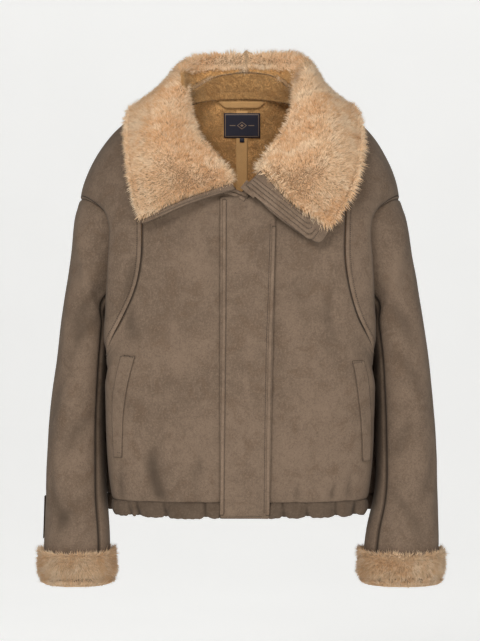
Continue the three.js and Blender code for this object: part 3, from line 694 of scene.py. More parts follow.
def stitches(name, lines, finish="thread", long=STITCH_LONG, thick=STITCH_THICK):
    """One mesh of small sewn stitches along lines of places"""
    form = bmesh.new()
    for places in lines:
        for (place, normal), (ahead, _) in zip(places, places[1:]):
            run = (ahead - place).normalized()
            aside = normal.cross(run).normalized()
            up = run.cross(aside).normalized()
            turn = Matrix((run, aside, up)).transposed().to_4x4()
            size = Matrix.Diagonal((long / 2, thick / 2, thick / 2, 1))
            middle = place.lerp(ahead, 0.5) + up * thick * 0.2
            stand = Matrix.Translation(middle) @ turn @ size
            bmesh.ops.create_icosphere(form, subdivisions=1, radius=1, matrix=stand)
    piece = make_object(form, name, [finish_of(finish)])
    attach(piece, "root")


# Materials


def fill(tree, node, values):
    """Gives a node's sockets their values. A value may be another node's output."""
    for key, value in values.items():
        socket = node.inputs[key]
        if isinstance(value, bpy.types.NodeSocket):
            tree.links.new(value, socket)
        else:
            socket.default_value = value


def wire(tree, kind, values=None, **words):
    """A new node with its settings, values and links"""
    made = tree.nodes.new(kind)
    for key, value in words.items():
        setattr(made, key, value)
    fill(tree, made, values or {})
    return made


def mix(tree, share, first, second):
    tones = [tone if isinstance(tone, bpy.types.NodeSocket) else (*tone[:3], 1) for tone in (first, second)]
    made = wire(tree, "ShaderNodeMix", {0: share, 6: tones[0], 7: tones[1]}, data_type="RGBA")
    return made.outputs[2]


def ramp(tree, value, low, high, to_low=0.0, to_high=1.0):
    values = {0: value, 1: low, 2: high, 3: to_low, 4: to_high}
    return wire(tree, "ShaderNodeMapRange", values, interpolation_type="SMOOTHSTEP").outputs[0]


def cloud(tree, where, scale, detail=3.0, rough=0.5, distortion=0.0):
    return wire(tree, "ShaderNodeTexNoise", {
        "Vector": where, "Scale": scale, "Detail": detail, "Roughness": rough, "Distortion": distortion,
    }).outputs["Fac"]


def waves(tree, where, scale, direction, **more):
    values = {"Vector": where, "Scale": scale, **more}
    return wire(tree, "ShaderNodeTexWave", values, bands_direction=direction).outputs["Fac"]


def attribute(tree, name):
    return wire(tree, "ShaderNodeAttribute", attribute_name=name).outputs["Fac"]


def shade(colour, factor):
    return tuple(min(channel * factor, 1) for channel in colour[:3])


def layered(tree, tone, colour, layers):
    """A tone with others laid over it. Each layer has what it follows, from where to where in that, its
    greatest share, and its own tone or else a shade of the colour."""
    for source, low, high, share, look in layers:
        over = shade(colour, look) if isinstance(look, float) else look
        tone = mix(tree, ramp(tree, source, low, high, 0, share), tone, over)
    return tone


def start_material(name):
    material = bpy.data.materials.new(name)
    material.use_nodes = True
    tree = material.node_tree
    tree.nodes.clear()
    out = tree.nodes.new("ShaderNodeOutputMaterial")
    shader = tree.nodes.new("ShaderNodeBsdfPrincipled")
    tree.links.new(shader.outputs[0], out.inputs[0])
    where = tree.nodes.new("ShaderNodeTexCoord").outputs["Object"]
    return material, tree, shader, where


def bump(tree, shader, heights):
    """Bump nodes in a row, each with its height, strength and distance"""
    last = None
    for height, strength, distance in heights:
        made = wire(tree, "ShaderNodeBump", {"Height": height, "Strength": strength, "Distance": distance})
        if last is not None:
            tree.links.new(last, made.inputs["Normal"])
        last = made.outputs[0]
    tree.links.new(last, shader.inputs["Normal"])


def suede_material(name, colour):
    """Suede with a short nap, brushed one way and another, with painted shade in its seams, along edges, in
    its creases and where it turns from view, and a painted highlight on crease ridges
    """
    material, tree, shader, where = start_material(name)
    wide = cloud(tree, where, 8, 3, 0.55, 0.6)
    patch = cloud(tree, where, 38, 5, 0.62, 0.7)
    brushed = wire(tree, "ShaderNodeMapping", {
        "Vector": where, "Rotation": (0.0, math.radians(-42), 0.0), "Scale": (1.0, 1.0, 0.4),
    }).outputs[0]
    streak = cloud(tree, brushed, 230, 4, 0.62, 0.4)
    nap = cloud(tree, where, 380, 4, 0.62, 0.3)
    grain = cloud(tree, where, 1100, 2, 0.5)
    # painted shade where the cloth turns away from the view
    turned = wire(tree, "ShaderNodeLayerWeight", {"Blend": 0.5}).outputs["Facing"]
    fold = attribute(tree, "fold")
    warm = (colour[0] * 0.8, colour[1] * 0.73, colour[2] * 0.66)
    tone = mix(tree, ramp(tree, wide, 0.36, 0.64), shade(colour, 0.9), shade(colour, 1.14))
    tone = layered(tree, tone, colour, [
        (patch, 0.44, 0.68, 0.5, 1.32),
        (patch, 0.52, 0.3, 0.55, warm),
        (streak, 0.52, 0.72, 0.2, 1.5),
        (streak, 0.46, 0.28, 0.2, 0.62),
        (nap, 0.5, 0.66, 0.32, 1.6),
        (nap, 0.5, 0.34, 0.3, 0.6),
        (grain, 0.5, 0.3, 0.4, 0.5),
        # painted shade where the cloth turns away from the view
        (turned, 0.45, 0.95, 0.55, 0.4),
        # painted highlight on crease ridges, then painted shade in crease troughs
        (fold, 0.05, 0.7, 0.3, 1.35),
        (fold, -0.05, -1.8, 0.85, 0.4),
        # painted shade in the seams, along edges and under the hem
        (attribute(tree, "near_seam"), 0.4, 1.0, 0.88, 0.2),
    ])
    fill(tree, shader, {
        "Base Color": tone, "Roughness": 0.95, "Specular IOR Level": 0.14, "Sheen Weight": 0.05,
        "Sheen Roughness": 0.5, "Sheen Tint": (1.0, 0.9, 0.78, 1),
    })
    bump(tree, shader, [
        (patch, 0.3, 1.6 * MM), (streak, 0.3, 0.4 * MM), (nap, 0.5, 0.4 * MM), (grain, 0.5, 0.2 * MM),
    ])
    return material


def fur_material(name, colour, root):
    """Fur tufts, darker at the root, each with its own tone"""
    material, tree, shader, where = start_material(name)
    wide = cloud(tree, where, 13, 3, 0.5, 0.4)
    patch = cloud(tree, where, 45, 4, 0.6, 0.3)
    own = attribute(tree, "tuft_tone")
    peach = (colour[0] * 0.88, colour[1] * 0.74, colour[2] * 0.6)
    cream = (min(colour[0] * 1.12, 1), min(colour[1] * 1.3, 1), min(colour[2] * 1.55, 1))
    tone = mix(tree, ramp(tree, wide, 0.38, 0.6), peach, colour)
    tone = layered(tree, tone, colour, [
        (patch, 0.46, 0.66, 0.55, cream),
        (patch, 0.42, 0.26, 0.5, 0.68),
        (own, 0.55, 1.0, 0.6, cream),
        (own, 0.35, 0.0, 0.4, 0.6),
        (attribute(tree, "along"), 0.6, 0.0, 0.7, root),
    ])
    fill(tree, shader, {
        "Base Color": tone, "Roughness": 0.8, "Specular IOR Level": 0.2, "Sheen Weight": 0.25,
        "Sheen Roughness": 0.4, "Sheen Tint": (1.0, 0.9, 0.76, 1),
    })
    return material


def pelt_material(name, colour):
    """The dense foot of the fur"""
    material, tree, shader, where = start_material(name)
    curl = cloud(tree, where, 380, 4, 0.65, 1.2)
    patch = cloud(tree, where, 40, 3, 0.5)
    tone = mix(tree, ramp(tree, curl, 0.3, 0.7), shade(colour, 0.45), shade(colour, 0.95))
    tone = layered(tree, tone, colour, [(patch, 0.4, 0.7, 0.4, 0.6)])
    fill(tree, shader, {"Base Color": tone, "Roughness": 0.95, "Specular IOR Level": 0.1})
    bump(tree, shader, [(curl, 0.8, 1.2 * MM)])
    return material


def fleece_material(name, colour):
    """Short shorn fleece with painted shade in the pits between its curls"""
    material, tree, shader, where = start_material(name)
    curl = wire(tree, "ShaderNodeTexVoronoi", {"Vector": where, "Scale": 430.0, "Randomness": 1.0},
                feature="F1").outputs["Distance"]
    fuzz = cloud(tree, where, 700, 4, 0.7, 1.0)
    patch = cloud(tree, where, 60, 4, 0.6, 0.5)
    wide = cloud(tree, where, 12, 2, 0.5)
    tone = mix(tree, ramp(tree, patch, 0.32, 0.68), shade(colour, 0.72), shade(colour, 1.2))
    tone = layered(tree, tone, colour, [
        # the curl layer is painted shade between the curls
        (wide, 0.35, 0.65, 0.35, 1.3), (curl, 0.45, 0.85, 0.6, 0.5), (fuzz, 0.55, 0.75, 0.5, 1.5),
    ])
    fill(tree, shader, {
        "Base Color": tone, "Roughness": 0.95, "Specular IOR Level": 0.1, "Sheen Weight": 0.25,
        "Sheen Roughness": 0.5, "Sheen Tint": (1.0, 0.85, 0.62, 1),
    })
    bump(tree, shader, [(patch, 0.3, 1.5 * MM), (curl, 0.6, 0.8 * MM), (fuzz, 0.5, 0.5 * MM)])
    return material


def tape_material(name, colour):
    """A tightly woven tape"""
    material, tree, shader, where = start_material(name)
    threads = waves(tree, where, 260.0, "X", Distortion=0.6, Detail=1.0)
    rows = waves(tree, where, 260.0, "Z", Distortion=0.4, Detail=1.0)
    weave = wire(tree, "ShaderNodeMath", {0: threads, 1: rows}, operation="MULTIPLY").outputs[0]
    patch = cloud(tree, where, 90, 3)
    tone = mix(tree, ramp(tree, weave, 0.1, 0.7), shade(colour, 0.75), shade(colour, 1.15))
    tone = layered(tree, tone, colour, [(patch, 0.4, 0.7, 0.3, 0.7)])
    fill(tree, shader, {"Base Color": tone, "Roughness": 0.85, "Specular IOR Level": 0.2})
    bump(tree, shader, [(weave, 0.4, 0.25 * MM)])
    return material


def label_material(name, colour, border, box):
    """A dark woven label with a plain border and a small plain diamond in the middle"""
    material, tree, shader, where = start_material(name)
    low, high = box
    middle = (low + high) / 2
    half = (high - low) / 2
    split = wire(tree, "ShaderNodeSeparateXYZ", {0: where})

    def both(first, second, operation):
        return wire(tree, "ShaderNodeMath", {0: first, 1: second}, operation=operation).outputs[0]

    def away(output, centre):
        shift = both(split.outputs[output], centre, "SUBTRACT")
        return wire(tree, "ShaderNodeMath", {0: shift}, operation="ABSOLUTE").outputs[0]

    def between(value, low, high):
        return both(both(value, low, "GREATER_THAN"), both(value, high, "LESS_THAN"), "MULTIPLY")

    x = away("X", middle.x)
    z = away("Z", middle.z)
    edge_x = both(half.x, x, "SUBTRACT")
    edge_z = both(half.z, z, "SUBTRACT")
    inside = both(edge_x, edge_z, "MINIMUM")
    line = between(inside, 1.9 * MM, 2.7 * MM)
    diamond = both(x, both(z, 1.3, "MULTIPLY"), "ADD")
    ring = between(diamond, 6.2 * MM, 7.5 * MM)
    seed = both(diamond, 2.6 * MM, "LESS_THAN")
    bar = both(both(z, 0.5 * MM, "LESS_THAN"), between(x, 10 * MM, 19 * MM), "MULTIPLY")
    motif = both(both(ring, seed, "MAXIMUM"), bar, "MAXIMUM")
    mark = both(line, motif, "MAXIMUM")
    weave = waves(tree, where, 420.0, "Z", Distortion=0.5)
    ground = mix(tree, ramp(tree, weave, 0.2, 0.8), shade(colour, 0.8), shade(colour, 1.5))
    tone = mix(tree, both(mark, 0.8, "MULTIPLY"), ground, border)
    fill(tree, shader, {"Base Color": tone, "Roughness": 0.6, "Specular IOR Level": 0.3})
    bump(tree, shader, [(weave, 0.3, 0.15 * MM), (mark, 0.4, 0.3 * MM)])
    return material


def thread_material(name, colour):
    """Twisted sewing thread"""
    material, tree, shader, where = start_material(name)
    twist = waves(tree, where, 900.0, "DIAGONAL", Distortion=2.0)
    tone = mix(tree, ramp(tree, twist, 0.2, 0.8), shade(colour, 0.7), shade(colour, 1.3))
    fill(tree, shader, {"Base Color": tone, "Roughness": 0.7})
    return material


def metal_material(name, colour):
    """Dark worn metal"""
    material, tree, shader, where = start_material(name)
    worn = cloud(tree, where, 900, 3)
    tone = mix(tree, ramp(tree, worn, 0.4, 0.7), colour, shade(colour, 2.2))
    rough = ramp(tree, worn, 0.3, 0.7, 0.28, 0.5)
    fill(tree, shader, {"Base Color": tone, "Roughness": rough, "Metallic": 0.9})
    return material


def finish_of(name):
    """A material by name, made once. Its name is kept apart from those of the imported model's slots."""
    label = name + "_finish"
    made = bpy.data.materials.get(label)
    if made:
        return made
    colours = bpy.context.scene.jacket_colours
    makers = {
        "suede": lambda: suede_material(label, colours.suede),
        # a lighter copy of the suede: painted highlight on raised strips, ridges and tabs
        "suede_trim": lambda: suede_material(label, shade(colours.suede, 1.14)),
        "fur": lambda: fur_material(label, colours.fur, shade(colours.fur, 0.55)),
        "pelt": lambda: pelt_material(label, shade(colours.fur, 0.75)),
        "fleece": lambda: fleece_material(label, colours.fleece),
        "fleece_tuft": lambda: fur_material(label, colours.fleece, shade(colours.fleece, 0.55)),
        # darker copies of the fleece: painted shade on the collar's stand and the seam under it
        "fleece_stand": lambda: fleece_material(label, shade(colours.fleece, 0.74)),
        "stand_tuft": lambda: fur_material(label, shade(colours.fleece, 0.74), shade(colours.fleece, 0.42)),
        "fur_cuff": lambda: fur_material(label, shade(colours.fur, 0.8), shade(colours.fur, 0.4)),
        "tape": lambda: tape_material(label, colours.tape),
        "label": lambda: label_material(label, colours.label, colours.border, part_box("neck_label")),
        "thread": lambda: thread_material(label, colours.thread),
        "metal": lambda: metal_material(label, colours.metal),
    }
    return makers[name]()


# Fur


def tuft_shape(name, width):
    """One strand: a thin three-sided spike a unit high"""
    form = bmesh.new()
    bmesh.ops.create_cone(form, cap_ends=False, segments=3, radius1=width, radius2=0, depth=1)
    bmesh.ops.translate(form, verts=form.verts, vec=(0, 0, 0.5))
    bmesh.ops.remove_doubles(form, verts=form.verts, dist=1e-5)
    share = form.verts.layers.float.new("along")
    for vert in form.verts:
        vert[share] = vert.co.z
    for face in form.faces:
        face.smooth = True
    mesh = bpy.data.meshes.new(name)
    form.to_mesh(mesh)
    form.free()
    return bpy.data.objects.new(name, mesh)


def first_open(sockets):
    return next(socket for socket in sockets if socket.enabled)


def pile_tree(tufts, density, long, spread, seed, material):
    """Geometry nodes that plant tufts on a mesh, along its lay attribute"""
    tree = bpy.data.node_groups.new("pile", "GeometryNodeTree")
    tree.interface.new_socket("Geometry", in_out="INPUT", socket_type="NodeSocketGeometry")
    tree.interface.new_socket("Geometry", in_out="OUTPUT", socket_type="NodeSocketGeometry")
    source = tree.nodes.new("NodeGroupInput").outputs[0]
    place = tree.nodes.new("GeometryNodeInputPosition").outputs[0]

    def stored(name, kind="FLOAT"):
        made = wire(tree, "GeometryNodeInputNamedAttribute", {"Name": name}, data_type=kind)
        return first_open(made.outputs)

    def chance(low, high, turn):
        values = {2: low, 3: high, "Seed": seed + turn}
        return first_open(wire(tree, "FunctionNodeRandomValue", values, data_type="FLOAT").outputs)

    def times(first, second):
        return wire(tree, "ShaderNodeMath", {0: first, 1: second}, operation="MULTIPLY").outputs[0]

    def vectors(operation, values):
        return wire(tree, "ShaderNodeVectorMath", values, operation=operation).outputs[0]

    ground = {"Mesh": source, "Density": times(stored("pile_share"), density), "Seed": seed}
    spots = wire(tree, "GeometryNodeDistributePointsOnFaces", ground)

    # Which way each strand leans: its lay, the swirl of its clump and its own small lean
    swirl = wire(tree, "ShaderNodeTexNoise", {"Vector": place, "Scale": 130, "Detail": 2}).outputs["Color"]
    clump = vectors("SCALE", {0: vectors("SUBTRACT", {0: swirl, 1: (0.5, 0.5, 0.5)}), "Scale": spread * 4})
    lean = {0: (-spread, -spread, -spread), 1: (spread, spread, spread), "Seed": seed + 1}
    loose = first_open(wire(tree, "FunctionNodeRandomValue", lean, data_type="FLOAT_VECTOR").outputs)
    aim = vectors("ADD", {0: vectors("ADD", {0: stored("lay", "FLOAT_VECTOR"), 1: clump}), 1: loose})
    align = wire(tree, "FunctionNodeAlignRotationToVector", {"Vector": aim}, axis="Z").outputs[0]
    spin = {"Axis": (0, 0, 1), "Angle": chance(0, math.tau, 2)}
    about = wire(tree, "FunctionNodeAxisAngleToRotation", spin).outputs[0]
    turned = wire(tree, "FunctionNodeRotateRotation", {0: align, 1: about}, rotation_space="LOCAL").outputs[0]

    # How long each strand is: its own length, and less in the hollows between clumps
    grown = times(chance(long * 0.75, long * 1.2, 3), stored("pile_long"))
    hollow = wire(tree, "ShaderNodeTexNoise", {"Vector": place, "Scale": 150, "Detail": 2}).outputs["Fac"]
    raised = wire(tree, "ShaderNodeMapRange", {0: hollow, 1: 0.32, 2: 0.62, 3: 0.62, 4: 1.12}).outputs[0]

    shapes = {"Collection": tufts, "Separate Children": True}
    kinds = wire(tree, "GeometryNodeCollectionInfo", shapes).outputs[0]
    planted = wire(tree, "GeometryNodeInstanceOnPoints", {
        "Points": spots.outputs["Points"], "Instance": kinds, "Pick Instance": True, "Rotation": turned,
        "Scale": times(grown, raised),
    }).outputs[0]
    kept = wire(tree, "GeometryNodeStoreNamedAttribute", {"Geometry": planted, "Name": "tuft_tone"},
                data_type="FLOAT", domain="INSTANCE")
    tree.links.new(chance(0, 1, 4), first_open([socket for socket in kept.inputs if socket.name == "Value"]))
    real = wire(tree, "GeometryNodeRealizeInstances", {0: kept.outputs[0]}).outputs[0]
    painted = wire(tree, "GeometryNodeSetMaterial", {"Geometry": real, "Material": material}).outputs[0]
    tree.links.new(painted, tree.nodes.new("NodeGroupOutput").inputs[0])
    return tree


def plant(name, ground, count, long, width, spread, seed, material, share=None, flow=None, lift=0.75,
          level=None):
    """A piece of fur, about count strands, that stands on a ground mesh where share allows it. Where level
    says so it leans neither left nor right."""
    form = bmesh.new()
    form.from_mesh(ground)
    form.normal_update()
    lay = form.verts.layers.float_vector.new("lay")
    thick = form.verts.layers.float.new("pile_share")
    tall = form.verts.layers.float.new("pile_long")
    for vert in form.verts:
        normal = vert.normal.copy()
        pull = flow(vert.co) if flow else Vector((0, 0, -1))
        if level and level(vert.co):
            normal.x = 0
            normal.normalize()
            pull.x = 0
        pull = pull - normal * pull.dot(normal)
        if pull.length > 1e-6:
            pull.normalize()
        vert[lay] = normal * lift + pull * (1 - lift)
        dense, high = share(vert) if share else (1, 1)
        vert[thick] = dense
        vert[tall] = high
    bare = [face for face in form.faces if all(vert[thick] == 0 for vert in face.verts)]
    bmesh.ops.delete(form, geom=bare, context="FACES")
    area = sum(
        face.calc_area() * sum(vert[thick] for vert in face.verts) / len(face.verts) for face in form.faces
    )
    mesh = bpy.data.meshes.new(name + "_ground")
    form.to_mesh(mesh)
    form.free()
    piece = bpy.data.objects.new(name, mesh)
    bpy.context.scene.collection.objects.link(piece)
    tufts = bpy.data.collections.new(name + "_tufts")
    for key, wide in (("a", 0.75), ("b", 1.0), ("c", 1.3)):
        tufts.objects.link(tuft_shape(f"{name}_tuft_{key}", wide * width / long))
    tree = pile_tree(tufts, count / area, long, spread, seed, material)
    piece.modifiers.new("Pile", "NODES").node_group = tree
    made = bpy.data.meshes.new_from_object(piece.evaluated_get(bpy.context.evaluated_depsgraph_get()))
    piece.modifiers.clear()
    piece.data = made
    for tuft in list(tufts.objects):
        shape = tuft.data
        bpy.data.objects.remove(tuft)
        bpy.data.meshes.remove(shape)
    bpy.data.collections.remove(tufts)
    bpy.data.node_groups.remove(tree)
    bpy.data.meshes.remove(mesh)
    if not len(made.polygons):
        raise RuntimeError(f"{name} grew no fur")
    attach(piece, "root")
    return piece


def plant_fleece(name, ground, count, long, seed, finish, share=None):
    """Short fleece that stands on a ground mesh"""
    fleece = plant(name, ground, count, long, STRAND_WIDE, 0.3, seed, finish_of(finish), share, lift=0.8)


def collar_flow(place):
    """Fur lies outwards from the neck and down"""
    return Vector((place.x, place.y, 0)).normalized() * 0.6 + Vector((0, 0, -0.8))


def at_seam(place):
    """Beside the collar's centre-back seam"""
    return abs(place.x - COLLAR_SEAM) < 6 * MM and place.y > 0.02


# Settings that a user would change


def length_setting(name, description, default):
    return bpy.props.FloatProperty(name=name, description=description, default=default, unit="LENGTH")


def colour_setting(name, description, default):
    return bpy.props.FloatVectorProperty(name=name, description=description, subtype="COLOR", default=default)


class JacketSizes(bpy.types.PropertyGroup):
    """Lengths and the depth of the creases"""

    crease: bpy.props.FloatProperty(
        name="Crease depth", description="How deep the creases are, as a share of the usual depth",
        default=1.0, min=0, max=2, subtype="FACTOR")
    collar_pile: length_setting("Collar pile", "Length of the collar's fur", 0.0105)
    cuff_pile: length_setting("Cuff pile", "Length of the cuffs' fur", 0.0105)
    fleece_pile: length_setting("Fleece pile", "Length of the shorn fleece", 0.003)
    stitch_step: length_setting("Stitch step", "From one stitch to the next", 0.003)


class JacketColours(bpy.types.PropertyGroup):
    """Colours of the cloth, fur, trims and floor"""

    suede: colour_setting("Suede", "Outside of the cloth", (0.156, 0.110, 0.077))
    fur: colour_setting("Fur", "Collar and cuffs", (0.91, 0.63, 0.385))
    fleece: colour_setting("Fleece", "Inside of the cloth", (0.58, 0.325, 0.128))
    tape: colour_setting("Tape", "Seam tape and hanging loop", (0.70, 0.41, 0.17))
    label: colour_setting("Label", "Ground of the label", (0.022, 0.022, 0.035))
    border: colour_setting("Label border", "Lines on the label", (0.36, 0.26, 0.17))
    thread: colour_setting("Thread", "Topstitching", (0.030, 0.019, 0.013))
    metal: colour_setting("Zip metal", "Teeth of the zip", (0.05, 0.045, 0.04))
    floor: colour_setting("Floor", "Floor and backdrop", (0.87, 0.87, 0.86))


# Operators, one for each group of pieces


def add_camera(scene):
    """The camera of the photograph"""
    data = bpy.data.cameras.new("Camera")
    data.lens = SENSOR * abs(CAMERA.y) / (PHOTO_HEIGHT * PIXEL)
    data.sensor_width = SENSOR
    data.dof.use_dof = False
    data.clip_start = 0.05
    data.clip_end = 50
    camera = bpy.data.objects.new("Camera", data)
    camera.location = CAMERA
    camera.rotation_euler = (math.radians(90), 0, 0)
    scene.collection.objects.link(camera)
    scene.camera = camera


def add_floor(colour):
    """A pale floor that bends up to a backdrop"""
    material, tree, shader, where = start_material("floor")
    dust = cloud(tree, where, 3, 2)
    tone = mix(tree, ramp(tree, dust, 0.3, 0.7), shade(colour, 0.99), shade(colour, 1.0))
    fill(tree, shader, {
        "Base Color": tone, "Emission Color": tone, "Emission Strength": FLOOR_GLOW, "Roughness": 0.95,
    })
    form = bmesh.new()
    bmesh.ops.create_grid(form, x_segments=1, y_segments=1, size=6)
    for vert in form.verts:
        vert.co.z = FLOOR_DEPTH
    edge = [e for e in form.edges if all(v.co.y > 5 for v in e.verts)]
    moved = bmesh.ops.extrude_edge_only(form, edges=edge)["geom"]
    raised = [part for part in moved if isinstance(part, bmesh.types.BMVert)]
    bmesh.ops.translate(form, verts=raised, vec=(0, 0, BACKDROP_HIGH))
    corner = [e for e in form.edges if all(v.co.y > 5 and v.co.z < 0 for v in e.verts)]
    bmesh.ops.bevel(form, geom=corner, offset=BACKDROP_BEND, offset_type="OFFSET", segments=16, profile=0.5,
                    affect="EDGES", material=-1)
    bmesh.ops.recalc_face_normals(form, faces=form.faces)
    make_object(form, "floor", [material])


def add_light(scene):
    """A soft room with its lamps"""
    world = bpy.data.worlds.new("studio")
    world.use_nodes = True
    room = world.node_tree.nodes["Background"]
    room.inputs[0].default_value = WORLD_COLOUR
    room.inputs[1].default_value = WORLD_STRENGTH
    scene.world = world
    for name, place, size, power, colour in LAMPS:
        light = bpy.data.lights.new(name, "AREA")
        light.shape = "SQUARE"
        light.size = size
        light.energy = power
        light.color = colour
        lamp = bpy.data.objects.new(name, light)
        lamp.location = place
        lamp.rotation_euler = (LAMP_AIM - Vector(place)).to_track_quat("-Z", "Y").to_euler()
        scene.collection.objects.link(lamp)


class JACKET_OT_stage(bpy.types.Operator):
    """Camera, light and the pale floor"""

    bl_idname = "jacket.stage"
    bl_label = "Stage"

    def execute(self, context):
        add_camera(context.scene)
        add_floor(context.scene.jacket_colours.floor)
        add_light(context.scene)
        context.scene.view_settings.view_transform = "Standard"
        return {"FINISHED"}


def back_swell(place):
    """The back stands out past the fronts at the hem, behind the sleeves"""
    hand = "left" if place.x > 0 else "right"
    side = 1 if place.x > 0 else -1
    low = ease(-0.40, -0.56, place.z) if hand == "right" else ease(-0.33, -0.45, place.z)
    deep = ease(0.004, 0.034, place.y)
    wide = ease(0.09, 0.165, abs(place.x))
    neck = ease(0.032, 0.014, abs(place.x)) * ease(-0.034, -0.014, place.z) * ease(0.02, 0.04, place.y)
    return Vector((side * BACK_BULGE[hand] * low * deep * wide, 4 * MM * neck, 0))


class JACKET_OT_body(bpy.types.Operator):
    """Front and back panels of the body"""

    bl_idname = "jacket.body"
    bl_label = "Body panels"

    def execute(self, context):
        crease = context.scene.jacket_sizes.crease
        for node in FRONTS:
            panel(node, body_crease, crease)
        for node in BACKS:
            panel(node, body_crease, crease, back_swell)
        return {"FINISHED"}


class JACKET_OT_sleeves(bpy.types.Operator):
    """Upper and under sleeves with their tabs"""

    bl_idname = "jacket.sleeves"
    bl_label = "Sleeves"

    def execute(self, context):
        for node in SLEEVES:
            panel(node, sleeve_crease, context.scene.jacket_sizes.crease)
        for node in ("sleeve_tab_right", "sleeve_tab_left"):
            # the tabs take the suede's lighter copy, a painted highlight
            soft_solid(node, "suede_trim", crease=0.9, shape=lambda place: -1.2 * MM, edge=0)
        return {"FINISHED"}


def pinch(place, width=4.0):
    """1 where the elastic draws the hem in, and 0 away from there"""
    pinches = FRONT_PINCHES if place.y < 0.02 else BACK_PINCHES
    lean = (place.z + 0.62) / MM * 0.12
    x = place.x / MM + lean
    return max(math.exp(-((x - at) / width) ** 2) for at in pinches)


def hem_gather(place):
    wave = 0.5 * noise.noise(place * 60) + 0.4 * math.sin(place.x / MM * 0.55 + 9 * noise.noise(place * 12))
    clear = ease(-0.613, -0.628, place.z)       # its top stays under the panels
    return (1.3 - 3.9 * pinch(place) * clear + wave) * MM


def hem_swell(place):
    """The casing's lower edge rises at each gather, and its top closes up to the panels"""
    low = ease(-0.617, -0.631, place.z)
    high = ease(-0.624, -0.613, place.z)
    lift = 1.0 * MM * pinch(place, 7) * low + 1.3 * MM * high
    return Vector((0, 0, lift + 1.1 * MM * noise.noise(place * 22) * low)) + back_swell(place)


def hem_shadow(place):
    low = ease(-0.634, -0.648, place.z)
    return 0.7 + 0.14 * low + 0.3 * pinch(place, 2) * (0.6 + 0.8 * noise.noise(place * 50))


def flap_swell(place):
    """The flap's free edge stands a little off the front"""
    column = PHOTO_WIDTH / 2 + photo_aside(place)
    edge = FLAP_EDGE[0] - (photo_row(place) - FLAP_EDGE[1]) * FLAP_LEAN
    return Vector((0, -3.2 * MM * ease(edge - 13, edge - 1, column), 0))


class JACKET_OT_hem(bpy.types.Operator):
    """Gathered hem casings, the flap over the zip and the pocket welts"""

    bl_idname = "jacket.hem"
    bl_label = "Hem, flap and pockets"

    def execute(self, context):
        for node in HEMS:
            soft_solid(node, "suede", 2, 0.55, hem_gather, hem_swell, hem_shadow, 0.5)
        soft_solid("placket", "suede", crease=0.9, swell=flap_swell)
        for node in POCKETS:
            soft_solid(node, "suede")
        return {"FINISHED"}


FUR_SIDE, FUR_RIM, HIDE_SIDE, SHORN_SIDE = range(4)


def shorn(place, normal):
    """1 inside the back of the neck below the long fur, and 0 elsewhere"""
    if normal.y > 0.35:
        return 0
    row = photo_row(place) + 3 * noise.noise(place * 60)
    aside = abs(photo_aside(place) + 3)
    top = LINING_ROWS[0]
    return ease(top, top + 4, row) * ease(LINING_HALF + 4, LINING_HALF - 2, aside) * ease(-0.03, 0.0, place.y)


def meets_seam(vert, move, sink):
    """Where a leaf's end goes, so that both leaves meet at the centre-back seam"""
    if abs(vert.co.x - COLLAR_SEAM) >= 9 * MM or vert.co.y <= 0.02:
        return move
    beside = [face for face in vert.link_faces if abs(face.normal.x) <= 0.6]
    if len(beside) == len(vert.link_faces):
        return move
    if any(face.material_index != HIDE_SIDE for face in beside):
        move = sum((face.normal for face in beside), Vector()).normalized() * -sink
    move.x = COLLAR_SEAM - vert.co.x
    return move


def is_lining(face):
    """Whether a face of a collar leaf is inside the neck, where the fleece is shorn"""
    middle = face.calc_center_median()
    if shorn(middle, face.normal) > 0.5:
        return True
    if face.material_index != HIDE_SIDE or face.normal.y >= 0.5 or middle.y <= LINING_FRONT:
        return False
    first, last = LINING_ROWS
    return abs(photo_aside(middle)) < LINING_HALF and first < photo_row(middle) < last


def fur_base(node, sink, shallow):
    """The hide under a collar leaf's fur: its whole form, sunk on the fur side"""
    form = merged(node)
    groups = sides(form)
    full = sum(face.calc_area() for face in groups[0])
    for group in groups:
        large = sum(face.calc_area() for face in group) > full * 0.5
        kind = FUR_SIDE if group is groups[0] else HIDE_SIDE if large else FUR_RIM
        for face in group:
            face.material_index = kind
    hold_form(form)
    form = subdivided(form, 2)
    form.normal_update()
    moves = []
    for vert in form.verts:
        furred = sum(face.material_index != HIDE_SIDE for face in vert.link_faces) / len(vert.link_faces)
        bare = shorn(vert.co, vert.normal)
        moves.append(meets_seam(vert, vert.normal * -furred * (sink + (shallow - sink) * bare), sink))
    for face in form.faces:
        if is_lining(face):
            face.material_index = SHORN_SIDE
    move_points(form, moves)
    return form


def long_share(vert):
    """The long fur stands on the fur side and its rim"""
    kinds = {face.material_index for face in vert.link_faces}
    if not kinds & {FUR_SIDE, FUR_RIM}:
        return 0, 1
    left_edge = vert.co.x > 0 and vert.co.y < -0.09 and FUR_RIM in kinds
    return 1, 1.35 if left_edge else 1


def short_share(vert):
    """The short fleece stands on the shorn side"""
    return (1, 1) if any(face.material_index == SHORN_SIDE for face in vert.link_faces) else (0, 1)


def stand_swell(place):
    """The stand's upper edge leans out against the leaves"""
    _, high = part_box("collar_stand")
    out = Vector((place.x, place.y + 0.01, 0)).normalized()
    return out * 4 * MM * ease(high.z - 22 * MM, high.z - 4 * MM, place.z)


